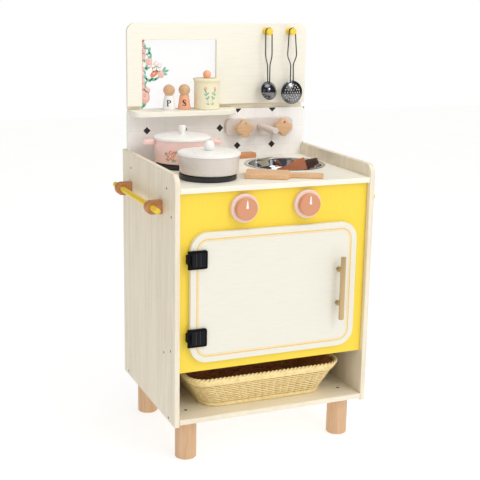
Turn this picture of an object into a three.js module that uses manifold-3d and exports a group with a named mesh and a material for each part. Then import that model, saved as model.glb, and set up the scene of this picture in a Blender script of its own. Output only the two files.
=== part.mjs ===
// A wooden toy kitchen: a cabinet on four round feet with a hob, a sink, an oven door on two hinges
// and an open bottom compartment, under an upright board with a tiled part, a sill and a window.
// Millimetres, +Z up, the user stands at -Y. Lengths below are laid out with x = 0 on the cabinet's
// middle, y = 0 at the front edges of the side panels and z = 0 on the floor; the finished group is
// then moved so that its origin is the middle of its footprint.

import * as THREE from "three";
import * as BufferGeometryUtils from "three/addons/utils/BufferGeometryUtils.js";
import Module from "manifold-3d";

const wasm = await Module();
wasm.setup();

// ---------------------------------------------------------------- driving dimensions

const WIDTH = 480; // over the two side panels
const DEPTH = 386; // of a side panel
const BOARD = 12; // thickness of the cabinet boards
const GAP = 0.3; // left between pieces that touch
const HALF_INSIDE = WIDTH / 2 - BOARD;
const HALF_FITTED = HALF_INSIDE - GAP; // half width of a board fitted between the side panels

const SIDE_BOTTOM = 95;
const SIDE_TOP = 664;
const SIDE_CORNER = 22;
const SHELF_BOTTOM = 100; // underside of the bottom shelf
const OVEN_FLOOR_BOTTOM = 243;
const COUNTER_TOP = 635;
const COUNTER_BOTTOM = COUNTER_TOP - BOARD;
const COUNTER_FRONT = 1;

const FRONT_PANEL_FRONT = 12.5;
const FRONT_PANEL_BOTTOM = 218;
const OPENING_INSET = 20; // the oven opening, in from the door's outline

const UPRIGHT_FRONT = 361; // front face of the upright boards
const UPRIGHT_THICKNESS = 10;
const UPRIGHT_BACK = UPRIGHT_FRONT + UPRIGHT_THICKNESS;
const GROOVE_DEPTH = 6; // the upright boards stand in grooves in the side panels
const UPRIGHT_HALF = HALF_INSIDE + GROOVE_DEPTH;
const BACK_PANEL_TOP = 560;
const TILES_TOP = 755.5;
const WINDOW_BOARD_BOTTOM = 767.5;
const UPRIGHT_TOP = 963;
const UPRIGHT_CORNER = 21;
const WINDOW = { left: -197, right: -8, top: 924.5, corner: 4 };
const BATTEN_THICKNESS = 12;
const BATTEN_TOP = 790;
const BATTEN_BOTTOM = 735;
const BATTEN_INSET = 4; // in from the board's side edge
const PANE = { thickness: 2, lap: 10 };

const SILL = { left: -229, right: 36, front: 305, back: 383, cornerLeft: 16, cornerRight: 40 };
const SILL_TOP = 759.5;

const FOOT = { radius: 24.6, x: 195, front: 52, back: 335, edge: 2.5 };

const DOOR = { centre: -2, width: 404, bottom: 241, top: 536, corner: 40, thickness: BOARD };
const DOOR_BACK = FRONT_PANEL_FRONT - GAP;
const DOOR_FRONT = DOOR_BACK - DOOR.thickness;
const DOOR_LEFT = DOOR.centre - DOOR.width / 2;
const DOOR_RIGHT = DOOR.centre + DOOR.width / 2;

const HINGE = {
  height: 41, reach: 41, thickness: 5, radius: 3.4, pin: 1.4, knuckle: 19.5, shank: 2.9, clear: 3.9,
};
const HINGE_CENTRES = { upper: 478, lower: 301.5 };
const HINGE_X = DOOR_LEFT - HINGE.clear;
const HINGE_Y = DOOR_FRONT - GAP - HINGE.thickness + HINGE.radius;

const HANDLE = { x: 155.5, stand: 22, radius: 6, length: 148, centre: 386, spacing: 80, post: 4.5 };

const CATCH = { nose: 12, lap: 16, depth: 12, height: 20, clear: 0.8 };

const KNOB = {
  centre: -3, spacing: 152, z: 583.5, ring: 32, ringThickness: 12, dial: 25, dialThickness: 12,
};

const HOB = { x: -127, front: 103, back: 264, radius: 64, thickness: 12, edge: 1.5 };
const SINK = { x: 118, y: 223, rim: 98, hole: 90, depth: 46, wall: 1.2, lip: 1.8, bend: 20, lean: 4 };

const PEG = { left: 122.5, right: 186, z: 944, stem: 6.6, length: 26, knob: 8.3, knobThickness: 6 };
const PEG_FLANGE = { radius: 9.5, thickness: 3 };
const WIRE = 1.5; // radius of the utensils' wire

const TAP = { x: 106.4, z: 710.7, length: 182, height: 43, corner: 13, thickness: 12 };
const TAP_HANDLE = {
  offset: 52.5, radius: 22.4, lobe: 2.5, lobes: 4, turn: 5, thickness: 15, stand: 17, spindle: 6,
};
const SPOUT = { radius: 8, length: 95, z: 711, nozzle: 5.2, nozzleInset: 16, nozzleDrop: 23 };

const RAIL = { out: 23, z: 580, radius: 6.5, front: 44, back: 372 };
const BRACKET = { height: 30, thickness: 18, front: 82, back: 309 };

const BASKET = { bottom: 112.3, top: 188, wall: 7, floor: 6, x: 193, front: 22, back: 265, corner: 45 };
const BASKET_TAPER = { x: 43, y: 23 }; // how far the walls lean in at the foot

const ROUND = 28; // sides of a large turned piece
const SMALL_ROUND = 16; // sides of a small one

// ---------------------------------------------------------------- materials

const finish = (color, roughness, metalness = 0) =>
  new THREE.MeshStandardMaterial({ color, roughness, metalness });

const FINISHES = {
  birch: finish(0xeee0c6, 0.6),
  beech: finish(0xd9ad7c, 0.55),
  cream: finish(0xf4f0e2, 0.45),
  yellow: finish(0xf8dc4a, 0.45),
  tile: finish(0xf0ebe6, 0.4),
  black: finish(0x222226, 0.5),
  brass: finish(0xb79a62, 0.35, 0.9),
  steel: finish(0xb9bcc2, 0.2, 1),
  pink: finish(0xecc2b9, 0.45),
  blush: finish(0xdccdc2, 0.45),
  grey: finish(0xd7cdc3, 0.45),
  orange: finish(0xdb9673, 0.5),
  white: finish(0xf7f5f2, 0.4),
  clear: finish(0xf2f8f8, 0.1),
  wicker: finish(0xe3c383, 0.75),
  brownWood: finish(0xa8663f, 0.6),
  bristle: finish(0x3a2724, 0.9),
};

// ---------------------------------------------------------------- solids and booleans

const toSolid = (geometry) => {
  const bare = geometry.clone();
  bare.deleteAttribute("normal");
  bare.deleteAttribute("uv");
  const merged = BufferGeometryUtils.mergeVertices(bare, 1e-4);
  return new wasm.Manifold(new wasm.Mesh({
    numProp: 3,
    vertProperties: Float32Array.from(merged.attributes.position.array),
    triVerts: Uint32Array.from(merged.index.array),
  }));
};

const toGeometry = (solid) => {
  const mesh = solid.getMesh();
  const geometry = new THREE.BufferGeometry();
  geometry.setAttribute("position", new THREE.BufferAttribute(Float32Array.from(mesh.vertProperties), 3));
  geometry.setIndex(new THREE.BufferAttribute(Uint32Array.from(mesh.triVerts), 1));
  geometry.computeVertexNormals();
  return geometry;
};

const join = (...geometries) => toGeometry(geometries.map(toSolid).reduce((a, b) => a.add(b)));
const cut = (geometry, ...tools) =>
  toGeometry(tools.map(toSolid).reduce((a, b) => a.subtract(b), toSolid(geometry)));

// ---------------------------------------------------------------- basic shapes

// A block between two corners.
const block = (x0, x1, y0, y1, z0, z1) =>
  new THREE.BoxGeometry(x1 - x0, y1 - y0, z1 - z0).translate((x0 + x1) / 2, (y0 + y1) / 2, (z0 + z1) / 2);

// A rectangle whose four corners are rounded: radii run from lower left, counter-clockwise.
const roundedRectangle = (x0, x1, y0, y1, radii, PathClass = THREE.Shape) => {
  const [lowerLeft, lowerRight, upperRight, upperLeft] = radii;
  const path = new PathClass();
  const corner = (x, y, r, start) => {
    if (r > 0) path.absarc(x, y, r, start, start + Math.PI / 2, false);
    else path.lineTo(x, y);
  };
  path.moveTo(x0 + lowerLeft, y0);
  corner(x1 - lowerRight, y0 + lowerRight, lowerRight, -Math.PI / 2);
  corner(x1 - upperRight, y1 - upperRight, upperRight, 0);
  corner(x0 + upperLeft, y1 - upperLeft, upperLeft, Math.PI / 2);
  corner(x0 + lowerLeft, y0 + lowerLeft, lowerLeft, Math.PI);
  return path;
};

const extrude = (shape, depth, curveSegments = 8) =>
  new THREE.ExtrudeGeometry(shape, { depth, bevelEnabled: false, curveSegments });

// A flat board lying in the x-y plane, its underside at z.
const lying = (shape, z, thickness, segments) => extrude(shape, thickness, segments).translate(0, 0, z);

// An upright board facing the front: the shape's x and y become x and z, from y0 back to y0 + thickness.
const facing = (shape, y0, thickness, segments) =>
  extrude(shape, thickness, segments).rotateX(Math.PI / 2).translate(0, y0 + thickness, 0);

// An upright board facing sideways: the shape's x and y become y and z, from x0 to x0 + thickness.
const sideways = (shape, x0, thickness, segments) =>
  extrude(shape, thickness, segments).rotateX(Math.PI / 2).rotateZ(Math.PI / 2).translate(x0, 0, 0);

// A rod along z, from z0 to z1.
const rodZ = (x, y, z0, z1, radius, sides = SMALL_ROUND) =>
  new THREE.CylinderGeometry(radius, radius, z1 - z0, sides).rotateX(Math.PI / 2)
    .translate(x, y, (z0 + z1) / 2);

// A rod along y, from y0 to y1.
const rodY = (x, z, y0, y1, radius, sides = SMALL_ROUND) =>
  new THREE.CylinderGeometry(radius, radius, y1 - y0, sides).translate(x, (y0 + y1) / 2, z);

// A turned piece about z from [radius, height] points, which start and end on the axis.
const turned = (points, sides = ROUND) =>
  new THREE.LatheGeometry(points.map(([r, h]) => new THREE.Vector2(r, h)), sides).rotateX(Math.PI / 2);

// Points along an arc in the radius-height plane, for a turned piece's profile.
const arcPoints = (r, h, radius, from, to, count) =>
  Array.from({ length: count + 1 }, (_, i) => {
    const angle = from + ((to - from) * i) / count;
    return [Math.max(0, r + radius * Math.cos(angle)), h + radius * Math.sin(angle)];
  });

// ---------------------------------------------------------------- cabinet

const sidePanel = (side) => {
  const outline = roundedRectangle(0, DEPTH, SIDE_BOTTOM, SIDE_TOP, [0, 0, 0, SIDE_CORNER]);
  const panel = sideways(outline, side < 0 ? -WIDTH / 2 : HALF_INSIDE, BOARD, 6);
  const inner = side * (HALF_INSIDE - 1);
  const deep = side * (UPRIGHT_HALF + GAP);
  const groove = block(Math.min(inner, deep), Math.max(inner, deep), UPRIGHT_FRONT - GAP,
    UPRIGHT_BACK + GAP, SHELF_BOTTOM + BOARD, SIDE_TOP + 1);
  return cut(panel, groove);
};

const countertop = () => {
  const back = UPRIGHT_FRONT - GAP;
  const board = roundedRectangle(-HALF_FITTED, HALF_FITTED, COUNTER_FRONT, back, [0, 0, 0, 0]);
  const hole = new THREE.Path();
  hole.absarc(SINK.x, SINK.y, SINK.hole, 0, 2 * Math.PI, true);
  board.holes.push(hole);
  return lying(board, COUNTER_BOTTOM, BOARD, 18);
};

const bottomShelf = () =>
  block(-HALF_FITTED, HALF_FITTED, 0, UPRIGHT_FRONT - GAP, SHELF_BOTTOM, SHELF_BOTTOM + BOARD);

const frontPanelBack = FRONT_PANEL_FRONT + BOARD;

const ovenFloor = () => block(-HALF_FITTED, HALF_FITTED, frontPanelBack + GAP, UPRIGHT_FRONT - GAP,
  OVEN_FLOOR_BOTTOM, OVEN_FLOOR_BOTTOM + BOARD);

const openingOutline = (PathClass) => {
  const corner = DOOR.corner - OPENING_INSET;
  return roundedRectangle(DOOR_LEFT + OPENING_INSET, DOOR_RIGHT - OPENING_INSET,
    DOOR.bottom + OPENING_INSET, DOOR.top - OPENING_INSET, [corner, corner, corner, corner], PathClass);
};

const frontPanel = () => {
  const board = roundedRectangle(-HALF_FITTED, HALF_FITTED, FRONT_PANEL_BOTTOM, COUNTER_BOTTOM - GAP,
    [0, 0, 0, 0]);
  board.holes.push(openingOutline(THREE.Path));
  return facing(board, FRONT_PANEL_FRONT, BOARD, 4);
};

const foot = (x, y) => {
  const top = SHELF_BOTTOM - GAP;
  const { radius, edge } = FOOT;
  const profile = [[0, 0], [radius - edge, 0], [radius, edge], [radius, top], [0, top]];
  return turned(profile, 24).translate(x, y, 0);
};

// ---------------------------------------------------------------- upright boards

const backPanel = () => block(-UPRIGHT_HALF, UPRIGHT_HALF, UPRIGHT_FRONT, UPRIGHT_BACK,
  SHELF_BOTTOM + BOARD + GAP, BACK_PANEL_TOP - GAP);

// The tiled board is lower where the sill lies on it.
const splashBoard = () => {
  const outline = new THREE.Shape();
  outline.moveTo(-UPRIGHT_HALF, BACK_PANEL_TOP);
  outline.lineTo(UPRIGHT_HALF, BACK_PANEL_TOP);
  outline.lineTo(UPRIGHT_HALF, TILES_TOP);
  outline.lineTo(SILL.right + GAP, TILES_TOP);
  outline.lineTo(SILL.right + GAP, SILL_TOP - BOARD - GAP);
  outline.lineTo(SILL.left - GAP, SILL_TOP - BOARD - GAP);
  outline.lineTo(SILL.left - GAP, TILES_TOP);
  outline.lineTo(-UPRIGHT_HALF, TILES_TOP);
  return facing(outline, UPRIGHT_FRONT, UPRIGHT_THICKNESS);
};

// The window is open at the bottom, down to the sill.
const windowBoard = () => {
  const outline = new THREE.Shape();
  const quarter = Math.PI / 2;
  const { left, right, top, corner } = WINDOW;
  const shoulder = UPRIGHT_HALF - UPRIGHT_CORNER;
  const shoulderTop = UPRIGHT_TOP - UPRIGHT_CORNER;
  outline.moveTo(-UPRIGHT_HALF, WINDOW_BOARD_BOTTOM);
  outline.lineTo(left, WINDOW_BOARD_BOTTOM);
  outline.absarc(left + corner, top - corner, corner, 2 * quarter, quarter, true);
  outline.absarc(right - corner, top - corner, corner, quarter, 0, true);
  outline.lineTo(right, WINDOW_BOARD_BOTTOM);
  outline.lineTo(UPRIGHT_HALF, WINDOW_BOARD_BOTTOM);
  outline.absarc(shoulder, shoulderTop, UPRIGHT_CORNER, 0, quarter, false);
  outline.absarc(-shoulder, shoulderTop, UPRIGHT_CORNER, quarter, 2 * quarter, false);
  return facing(outline, UPRIGHT_FRONT, UPRIGHT_THICKNESS, 6);
};

const battenFront = UPRIGHT_BACK + GAP;
const battenBack = battenFront + BATTEN_THICKNESS;

const leftBatten = () => block(BATTEN_INSET - UPRIGHT_HALF, WINDOW.left, battenFront, battenBack,
  SILL_TOP + GAP, BATTEN_TOP);

// The right batten steps down beside the sill and joins the tiled board to the window board.
const rightBatten = () => {
  const outline = new THREE.Shape();
  outline.moveTo(SILL.right + GAP, BATTEN_BOTTOM);
  outline.lineTo(UPRIGHT_HALF - BATTEN_INSET, BATTEN_BOTTOM);
  outline.lineTo(UPRIGHT_HALF - BATTEN_INSET, BATTEN_TOP);
  outline.lineTo(WINDOW.right, BATTEN_TOP);
  outline.lineTo(WINDOW.right, SILL_TOP + GAP);
  outline.lineTo(SILL.right + GAP, SILL_TOP + GAP);
  return facing(outline, battenFront, BATTEN_THICKNESS);
};

const windowPane = () => block(WINDOW.left - PANE.lap, WINDOW.right + PANE.lap, battenBack + GAP,
  battenBack + GAP + PANE.thickness, SILL_TOP + GAP, WINDOW.top + PANE.lap);

const spiceSill = () => {
  const outline = roundedRectangle(SILL.left, SILL.right, SILL.front, SILL.back,
    [SILL.cornerLeft, SILL.cornerRight, 0, 0]);
  return lying(outline, SILL_TOP - BOARD, BOARD, 8);
};

const peg = (x) => {
  const tip = UPRIGHT_FRONT - PEG.length;
  const root = UPRIGHT_FRONT - GAP;
  return join(
    rodY(x, PEG.z, tip, root, PEG.stem),
    rodY(x, PEG.z, tip, tip + PEG.knobThickness, PEG.knob),
    rodY(x, PEG.z, root - PEG_FLANGE.thickness, root, PEG_FLANGE.radius),
  );
};

// ---------------------------------------------------------------- tap

const tapBody = () => {
  const halfLength = TAP.length / 2;
  const halfHeight = TAP.height / 2;
  const corners = Array(4).fill(TAP.corner);
  const outline = roundedRectangle(
    TAP.x - halfLength, TAP.x + halfLength, TAP.z - halfHeight, TAP.z + halfHeight, corners,
  );
  return facing(outline, UPRIGHT_FRONT - GAP - TAP.thickness, TAP.thickness, 8);
};

const tapFront = UPRIGHT_FRONT - GAP - TAP.thickness;

// A lobed wheel, whose radius swells at each lobe, held off the tap's body by a spindle.
const tapHandle = (side) => {
  const steps = 40;
  const { lobe, lobes, turn, stand, thickness, spindle } = TAP_HANDLE;
  const x = TAP.x + side * TAP_HANDLE.offset;
  const back = tapFront - GAP - stand;
  const outline = new THREE.Shape(Array.from({ length: steps }, (_, i) => {
    const angle = (2 * Math.PI * i) / steps;
    const r = TAP_HANDLE.radius - lobe + lobe * Math.cos(lobes * (angle + (turn * Math.PI) / 180));
    return new THREE.Vector2(x + r * Math.sin(angle), TAP.z + r * Math.cos(angle));
  }));
  return join(
    facing(outline, back - thickness, thickness),
    rodY(x, TAP.z, back - thickness / 2, tapFront - GAP, spindle, SMALL_ROUND),
  );
};

const tapSpout = () => {
  const end = tapFront - SPOUT.length;
  const nozzleY = end + SPOUT.nozzle + SPOUT.nozzleInset;
  return join(
    rodY(TAP.x, SPOUT.z, end, tapFront - GAP, SPOUT.radius),
    rodZ(TAP.x, nozzleY, SPOUT.z - SPOUT.nozzleDrop, SPOUT.z, SPOUT.nozzle),
  );
};

// ---------------------------------------------------------------- hob and sink

const burner = (y) => {
  const base = COUNTER_TOP + GAP;
  const top = base + HOB.thickness;
  const { radius, edge } = HOB;
  const profile = [[0, base], [radius, base], [radius, top - edge], [radius - edge, top], [0, top]];
  return turned(profile).translate(HOB.x, y, 0);
};

// A pressed bowl: down the outside of the wall, back up the inside, closed over the rim.
const sinkBowl = () => {
  const seat = COUNTER_TOP + GAP;
  const mouth = SINK.hole - 1;
  const floor = COUNTER_TOP - SINK.depth;
  const bendCentre = mouth - SINK.bend - SINK.lean;
  const bend = (radius, from, to) => arcPoints(bendCentre, floor + SINK.bend, radius, from, to, 3);
  const outer = [[0, floor], ...bend(SINK.bend, -Math.PI / 2, -0.15)];
  const inner = bend(SINK.bend - SINK.wall, -0.15, -Math.PI / 2);
  return turned([
    ...outer, [mouth, seat - 2], [mouth, seat], [SINK.rim, seat], [SINK.rim, seat + SINK.lip - 0.6],
    [SINK.rim - 2, seat + SINK.lip], [mouth - SINK.wall, seat + SINK.lip - 0.6],
    ...inner, [0, floor + SINK.wall],
  ], 32).translate(SINK.x, SINK.y, 0);
};

// ---------------------------------------------------------------- oven door

const ovenDoor = () => {
  const r = DOOR.corner;
  const outline = roundedRectangle(DOOR_LEFT, DOOR_RIGHT, DOOR.bottom, DOOR.top, [r, r, r, r]);
  return facing(outline, DOOR_FRONT, DOOR.thickness, 8);
};

const handleY = DOOR_FRONT - HANDLE.stand;

const doorHandle = () => {
  const bar = rodZ(HANDLE.x, handleY, HANDLE.centre - HANDLE.length / 2, HANDLE.centre + HANDLE.length / 2,
    HANDLE.radius);
  const posts = [-1, 1].map((end) =>
    rodY(HANDLE.x, HANDLE.centre + (end * HANDLE.spacing) / 2, handleY, DOOR_FRONT - GAP, HANDLE.post, 12));
  return join(bar, ...posts);
};

const hingeBore = (z) => rodZ(HINGE_X, HINGE_Y, z - HINGE.height, z + HINGE.height, HINGE.pin + GAP, 12);

// The leaf on the door carries the upper and lower knuckles.
const doorLeaf = (z) => {
  const half = HINGE.height / 2;
  const outline = roundedRectangle(HINGE_X, HINGE_X + HINGE.reach, z - half, z + half, [2, 4, 4, 2]);
  const plate = facing(outline, DOOR_FRONT - GAP - HINGE.thickness, HINGE.thickness, 3);
  const barrel = rodZ(HINGE_X, HINGE_Y, z - half, z + half, HINGE.radius, SMALL_ROUND);
  const notch = HINGE.radius + 2 * GAP;
  const slot = block(HINGE_X - notch, HINGE_X + notch, HINGE_Y - notch, HINGE_Y + notch,
    z - HINGE.knuckle / 2 - GAP, z + HINGE.knuckle / 2 + GAP);
  return cut(join(plate, barrel), slot, hingeBore(z));
};

// The middle knuckle stands on a shank that is fixed to the front panel.
const frameLeaf = (z) => {
  const half = HINGE.knuckle / 2;
  const knuckle = rodZ(HINGE_X, HINGE_Y, z - half, z + half, HINGE.radius, SMALL_ROUND);
  const shank = block(HINGE_X - HINGE.radius, HINGE_X + HINGE.shank,
    HINGE_Y, FRONT_PANEL_FRONT - GAP, z - half, z + half);
  return cut(join(knuckle, shank), hingeBore(z));
};

const hingePin = (z) => rodZ(HINGE_X, HINGE_Y, z - HINGE.height / 2, z + HINGE.height / 2, HINGE.pin, 12);

// The magnet stands behind the front panel with its nose in the opening, against the shut door.
const doorCatch = () => {
  const edge = DOOR_RIGHT - OPENING_INSET - GAP;
  const inner = edge - CATCH.nose;
  const middle = (DOOR.bottom + DOOR.top) / 2;
  const low = middle - CATCH.height / 2;
  const high = middle + CATCH.height / 2;
  const back = frontPanelBack + CATCH.depth;
  const nose = block(inner, edge, DOOR_BACK + CATCH.clear, back, low, high);
  const housing = block(inner, edge + CATCH.lap, frontPanelBack + GAP, back, low, high);
  return join(nose, housing);
};

const knobRing = (x) => {
  const back = FRONT_PANEL_FRONT - GAP;
  return rodY(x, KNOB.z, back - KNOB.ringThickness, back, KNOB.ring, 32);
};

const knobDial = (x) => {
  const back = FRONT_PANEL_FRONT - 2 * GAP - KNOB.ringThickness;
  return rodY(x, KNOB.z, back - KNOB.dialThickness, back, KNOB.dial, 32);
};

// ---------------------------------------------------------------- side rails

const railX = (side) => side * (WIDTH / 2 + RAIL.out);

const railBar = (side) => rodY(railX(side), RAIL.z, RAIL.front, RAIL.back, RAIL.radius);

const railBracket = (side, y) => {
  const root = side * (WIDTH / 2 + GAP);
  const r = BRACKET.height / 2;
  const outer = railX(side) + side * r;
  const radii = side < 0 ? [r, 0, 0, r] : [0, r, r, 0];
  const outline = roundedRectangle(Math.min(root, outer), Math.max(root, outer),
    RAIL.z - r, RAIL.z + r, radii);
  const bore = new THREE.Path();
  bore.absarc(railX(side), RAIL.z, RAIL.radius + GAP + 0.1, 0, 2 * Math.PI, true);
  outline.holes.push(bore);
  return facing(outline, y, BRACKET.thickness, 8);
};

// ---------------------------------------------------------------- pots

const POT_BASE = COUNTER_TOP + 2 * GAP + HOB.thickness;

// A pan is turned as an open shell; its inner wall stands in from the outer by `wall`.
const pan = (bottomRadius, topRadius, height, wall) => {
  const edge = 5;
  return turned([
    [0, 0], [bottomRadius - edge, 0], [bottomRadius - edge / 4, edge / 3], [bottomRadius, edge],
    [topRadius, height], [topRadius - wall, height], [bottomRadius - wall, edge + wall],
    [bottomRadius - wall - edge, wall], [0, wall],
  ]);
};

// A shallow domed lid that lies on the rim, with a spigot inside it and a knob on top.
const lid = (rimRadius, mouthRadius, rimHeight, domeHeight, knobPoints) => turned([
  [0, -2.4], [mouthRadius - 1, -2.4], [mouthRadius - 1, 0], [rimRadius, 0],
  [rimRadius, rimHeight - 1.5], [rimRadius - 1.5, rimHeight],
  [rimRadius * 0.66, rimHeight + domeHeight * 0.55],
  [rimRadius * 0.33, rimHeight + domeHeight * 0.9],
  ...knobPoints,
]);

const PINK_POT = {
  x: -130, bottom: 64, top: 65.5, height: 53, wall: 4, lidRim: 67, rimHeight: 5, dome: 7, turn: -16,
};
const EAR = { reach: 92, halfWidth: 19, thickness: 11, corner: 9, drop: 1 };

const pinkPot = () => {
  const body = pan(PINK_POT.bottom, PINK_POT.top, PINK_POT.height, PINK_POT.wall);
  const ear = (side) => {
    const near = side * (PINK_POT.top - 2);
    const far = side * EAR.reach;
    const outline = roundedRectangle(Math.min(near, far), Math.max(near, far),
      -EAR.halfWidth, EAR.halfWidth,
      side < 0 ? [EAR.corner, 0, 0, EAR.corner] : [0, EAR.corner, EAR.corner, 0]);
    return lying(outline, PINK_POT.height - EAR.thickness - EAR.drop, EAR.thickness, 4);
  };
  const turn = (PINK_POT.turn * Math.PI) / 180;
  return join(body, ear(-1), ear(1)).rotateZ(turn).translate(PINK_POT.x, HOB.back, POT_BASE);
};

const pinkPotLid = () => {
  const base = PINK_POT.rimHeight + PINK_POT.dome;
  const knob = [
    [6, base], [7, base + 6], [8.2, base + 9], [8.2, base + 16], [6.5, base + 19], [0, base + 20],
  ];
  return lid(PINK_POT.lidRim, PINK_POT.top - PINK_POT.wall, PINK_POT.rimHeight, PINK_POT.dome, knob)
    .translate(PINK_POT.x, HOB.back, POT_BASE + PINK_POT.height + GAP);
};

const SAUCEPAN = {
  x: -124.5, bottom: 65.5, top: 68.2, height: 41, wall: 4, lidRim: 70.4, rimHeight: 5, dome: 3, ball: 12.3,
};
const PAN_HANDLE = { angle: 8, reach: 117, width: 22, thickness: 12, drop: 2.6 };

const saucepan = () =>
  pan(SAUCEPAN.bottom, SAUCEPAN.top, SAUCEPAN.height, SAUCEPAN.wall)
    .translate(SAUCEPAN.x, HOB.front, POT_BASE);

const saucepanHandle = () => {
  const half = PAN_HANDLE.width / 2;
  const near = SAUCEPAN.bottom - BOARD;
  const outline = roundedRectangle(near, PAN_HANDLE.reach, -half, half, [0, 3, 3, 0]);
  const z = SAUCEPAN.height - PAN_HANDLE.drop - PAN_HANDLE.thickness;
  const bar = lying(outline, z, PAN_HANDLE.thickness, 3);
  const clearance = rodZ(0, 0, -1, SAUCEPAN.height + 1, SAUCEPAN.top + GAP, ROUND);
  return cut(bar, clearance).rotateZ((PAN_HANDLE.angle * Math.PI) / 180)
    .translate(SAUCEPAN.x, HOB.front, POT_BASE);
};

const saucepanLid = () => {
  const centre = SAUCEPAN.rimHeight + SAUCEPAN.dome + SAUCEPAN.ball - 2;
  const knob = arcPoints(0, centre, SAUCEPAN.ball, -1.2, Math.PI / 2, 6);
  return lid(SAUCEPAN.lidRim, SAUCEPAN.top - SAUCEPAN.wall, SAUCEPAN.rimHeight, SAUCEPAN.dome, knob)
    .translate(SAUCEPAN.x, HOB.front, POT_BASE + SAUCEPAN.height + GAP);
};

// ---------------------------------------------------------------- pieces on the sill

const ON_SILL = SILL_TOP + GAP;
const SHAKER = { base: 16.2, shoulder: 11.2, body: 33.5, head: 14, y: 352 };
const PEPPER_X = -133;
const SALT_X = -94;

const shaker = (x) => {
  const centre = SHAKER.body + SHAKER.head - 2;
  const head = arcPoints(0, centre, SHAKER.head, -0.75, Math.PI / 2, 6);
  const { base, shoulder, body } = SHAKER;
  return turned([[0, 0], [base, 0], [shoulder, body - 1], [shoulder - 0.8, body], ...head], 18)
    .translate(x, SHAKER.y, ON_SILL);
};

const JAR = { x: -38, y: 346, radius: 31, height: 67, wall: 4, lid: 33.5, lidHeight: 6, ball: 10 };

const jar = () => turned([
  [0, 0], [JAR.radius - 1.5, 0], [JAR.radius, 1.5], [JAR.radius, JAR.height],
  [JAR.radius - JAR.wall, JAR.height], [JAR.radius - JAR.wall, JAR.wall], [0, JAR.wall],
], 24).translate(JAR.x, JAR.y, ON_SILL);

const jarLid = () => {
  const spigot = JAR.radius - JAR.wall - 0.6;
  const ball = arcPoints(0, JAR.lidHeight + JAR.ball - 1, JAR.ball, -1.1, Math.PI / 2, 6);
  return turned([
    [0, -3], [spigot, -3], [spigot, 0], [JAR.lid, 0], [JAR.lid, JAR.lidHeight - 1],
    [JAR.lid - 1, JAR.lidHeight], ...ball,
  ], 24).translate(JAR.x, JAR.y, ON_SILL + JAR.height + GAP);
};

// ---------------------------------------------------------------- hanging utensils

const UTENSIL = {
  y: 343.5, seat: PEG.stem + WIRE + 0.3, waist: 3.4, waistDrop: 80, swellDrop: 60, end: 125, foot: 2.4,
  tilt: -2.5, // degrees: the bowl's back rests on the board, so the wires lean out at the foot
};

const wireSection = () => {
  const section = new THREE.Shape();
  section.absarc(0, 0, WIRE, 0, 2 * Math.PI, false);
  return section;
};

const wire = (route, steps) =>
  new THREE.ExtrudeGeometry(wireSection(), {
    steps, bevelEnabled: false, extrudePath: route, curveSegments: 3,
  });

class OverPeg extends THREE.Curve {
  getPoint(t, target = new THREE.Vector3()) {
    const angle = Math.PI * (1 - t);
    return target.set(UTENSIL.seat * Math.cos(angle), 0, UTENSIL.seat * Math.sin(angle));
  }
}

// A wire runs from the bowl up one side, over the peg and down the other, measured from the peg.
const wireLoop = (swell) => {
  const leg = (side) => wire(new THREE.CatmullRomCurve3([
    new THREE.Vector3(side * UTENSIL.foot, 0, -UTENSIL.end),
    new THREE.Vector3(side * UTENSIL.waist, 0, -UTENSIL.waistDrop),
    new THREE.Vector3(side * swell, 0, -UTENSIL.swellDrop),
    new THREE.Vector3(side * UTENSIL.seat, 0, -6),
    new THREE.Vector3(side * UTENSIL.seat, 0, 1),
  ], false, "centripetal"), 16);
  return join(leg(-1), wire(new OverPeg(), 8), leg(1));
};

// A spherical cap shell, open towards -z, with its rim in the plane z = 0.
const cap = (radius, height, wall, sides = 20) => {
  const curvature = (radius * radius + height * height) / (2 * height);
  const half = Math.asin(radius / curvature);
  const outer = arcPoints(0, height - curvature, curvature, Math.PI / 2 - half, Math.PI / 2, 4);
  const inner = arcPoints(0, height - curvature, curvature - wall, Math.PI / 2, Math.PI / 2 - half, 4);
  return turned([...inner, ...outer], sides);
};

const LADLE = { radius: 23, height: 13, wall: 1.4, lean: 14 };
const SKIMMER = { radius: 29.3, height: 7, wall: 1.6, hole: 2.1 };

const hung = (utensil, x) =>
  utensil.rotateX((UTENSIL.tilt * Math.PI) / 180).translate(x, UTENSIL.y, PEG.z);

// The bowl hangs with its round back to the front and leans out a little at its foot.
const ladle = () => {
  const bowl = cap(LADLE.radius, LADLE.height, LADLE.wall).rotateX(Math.PI / 2)
    .rotateX((-LADLE.lean * Math.PI) / 180).translate(0, 0, -UTENSIL.end - LADLE.radius + 4);
  return hung(join(wireLoop(8.8), bowl), PEG.left);
};

const skimmer = () => {
  const disc = cap(SKIMMER.radius, SKIMMER.height, SKIMMER.wall);
  const rings = [[0, 1], [9, 6], [19, 11]];
  const holes = rings.flatMap(([r, count]) => Array.from({ length: count }, (_, i) => {
    const angle = (2 * Math.PI * i) / count;
    return rodZ(r * Math.cos(angle), r * Math.sin(angle), -2, SKIMMER.height + 2, SKIMMER.hole, 5);
  }));
  const perforated = cut(disc, ...holes).rotateX(Math.PI / 2)
    .translate(0, 0, -UTENSIL.end - SKIMMER.radius + 5);
  return hung(join(wireLoop(12.5), perforated), PEG.right);
};

// ---------------------------------------------------------------- loose pieces

const SPATULA = {
  x: 41, y: 60, turn: -27, blade: 103, width: 70, handle: 72, grip: 17, thickness: 11, shoulder: 8,
};

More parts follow.
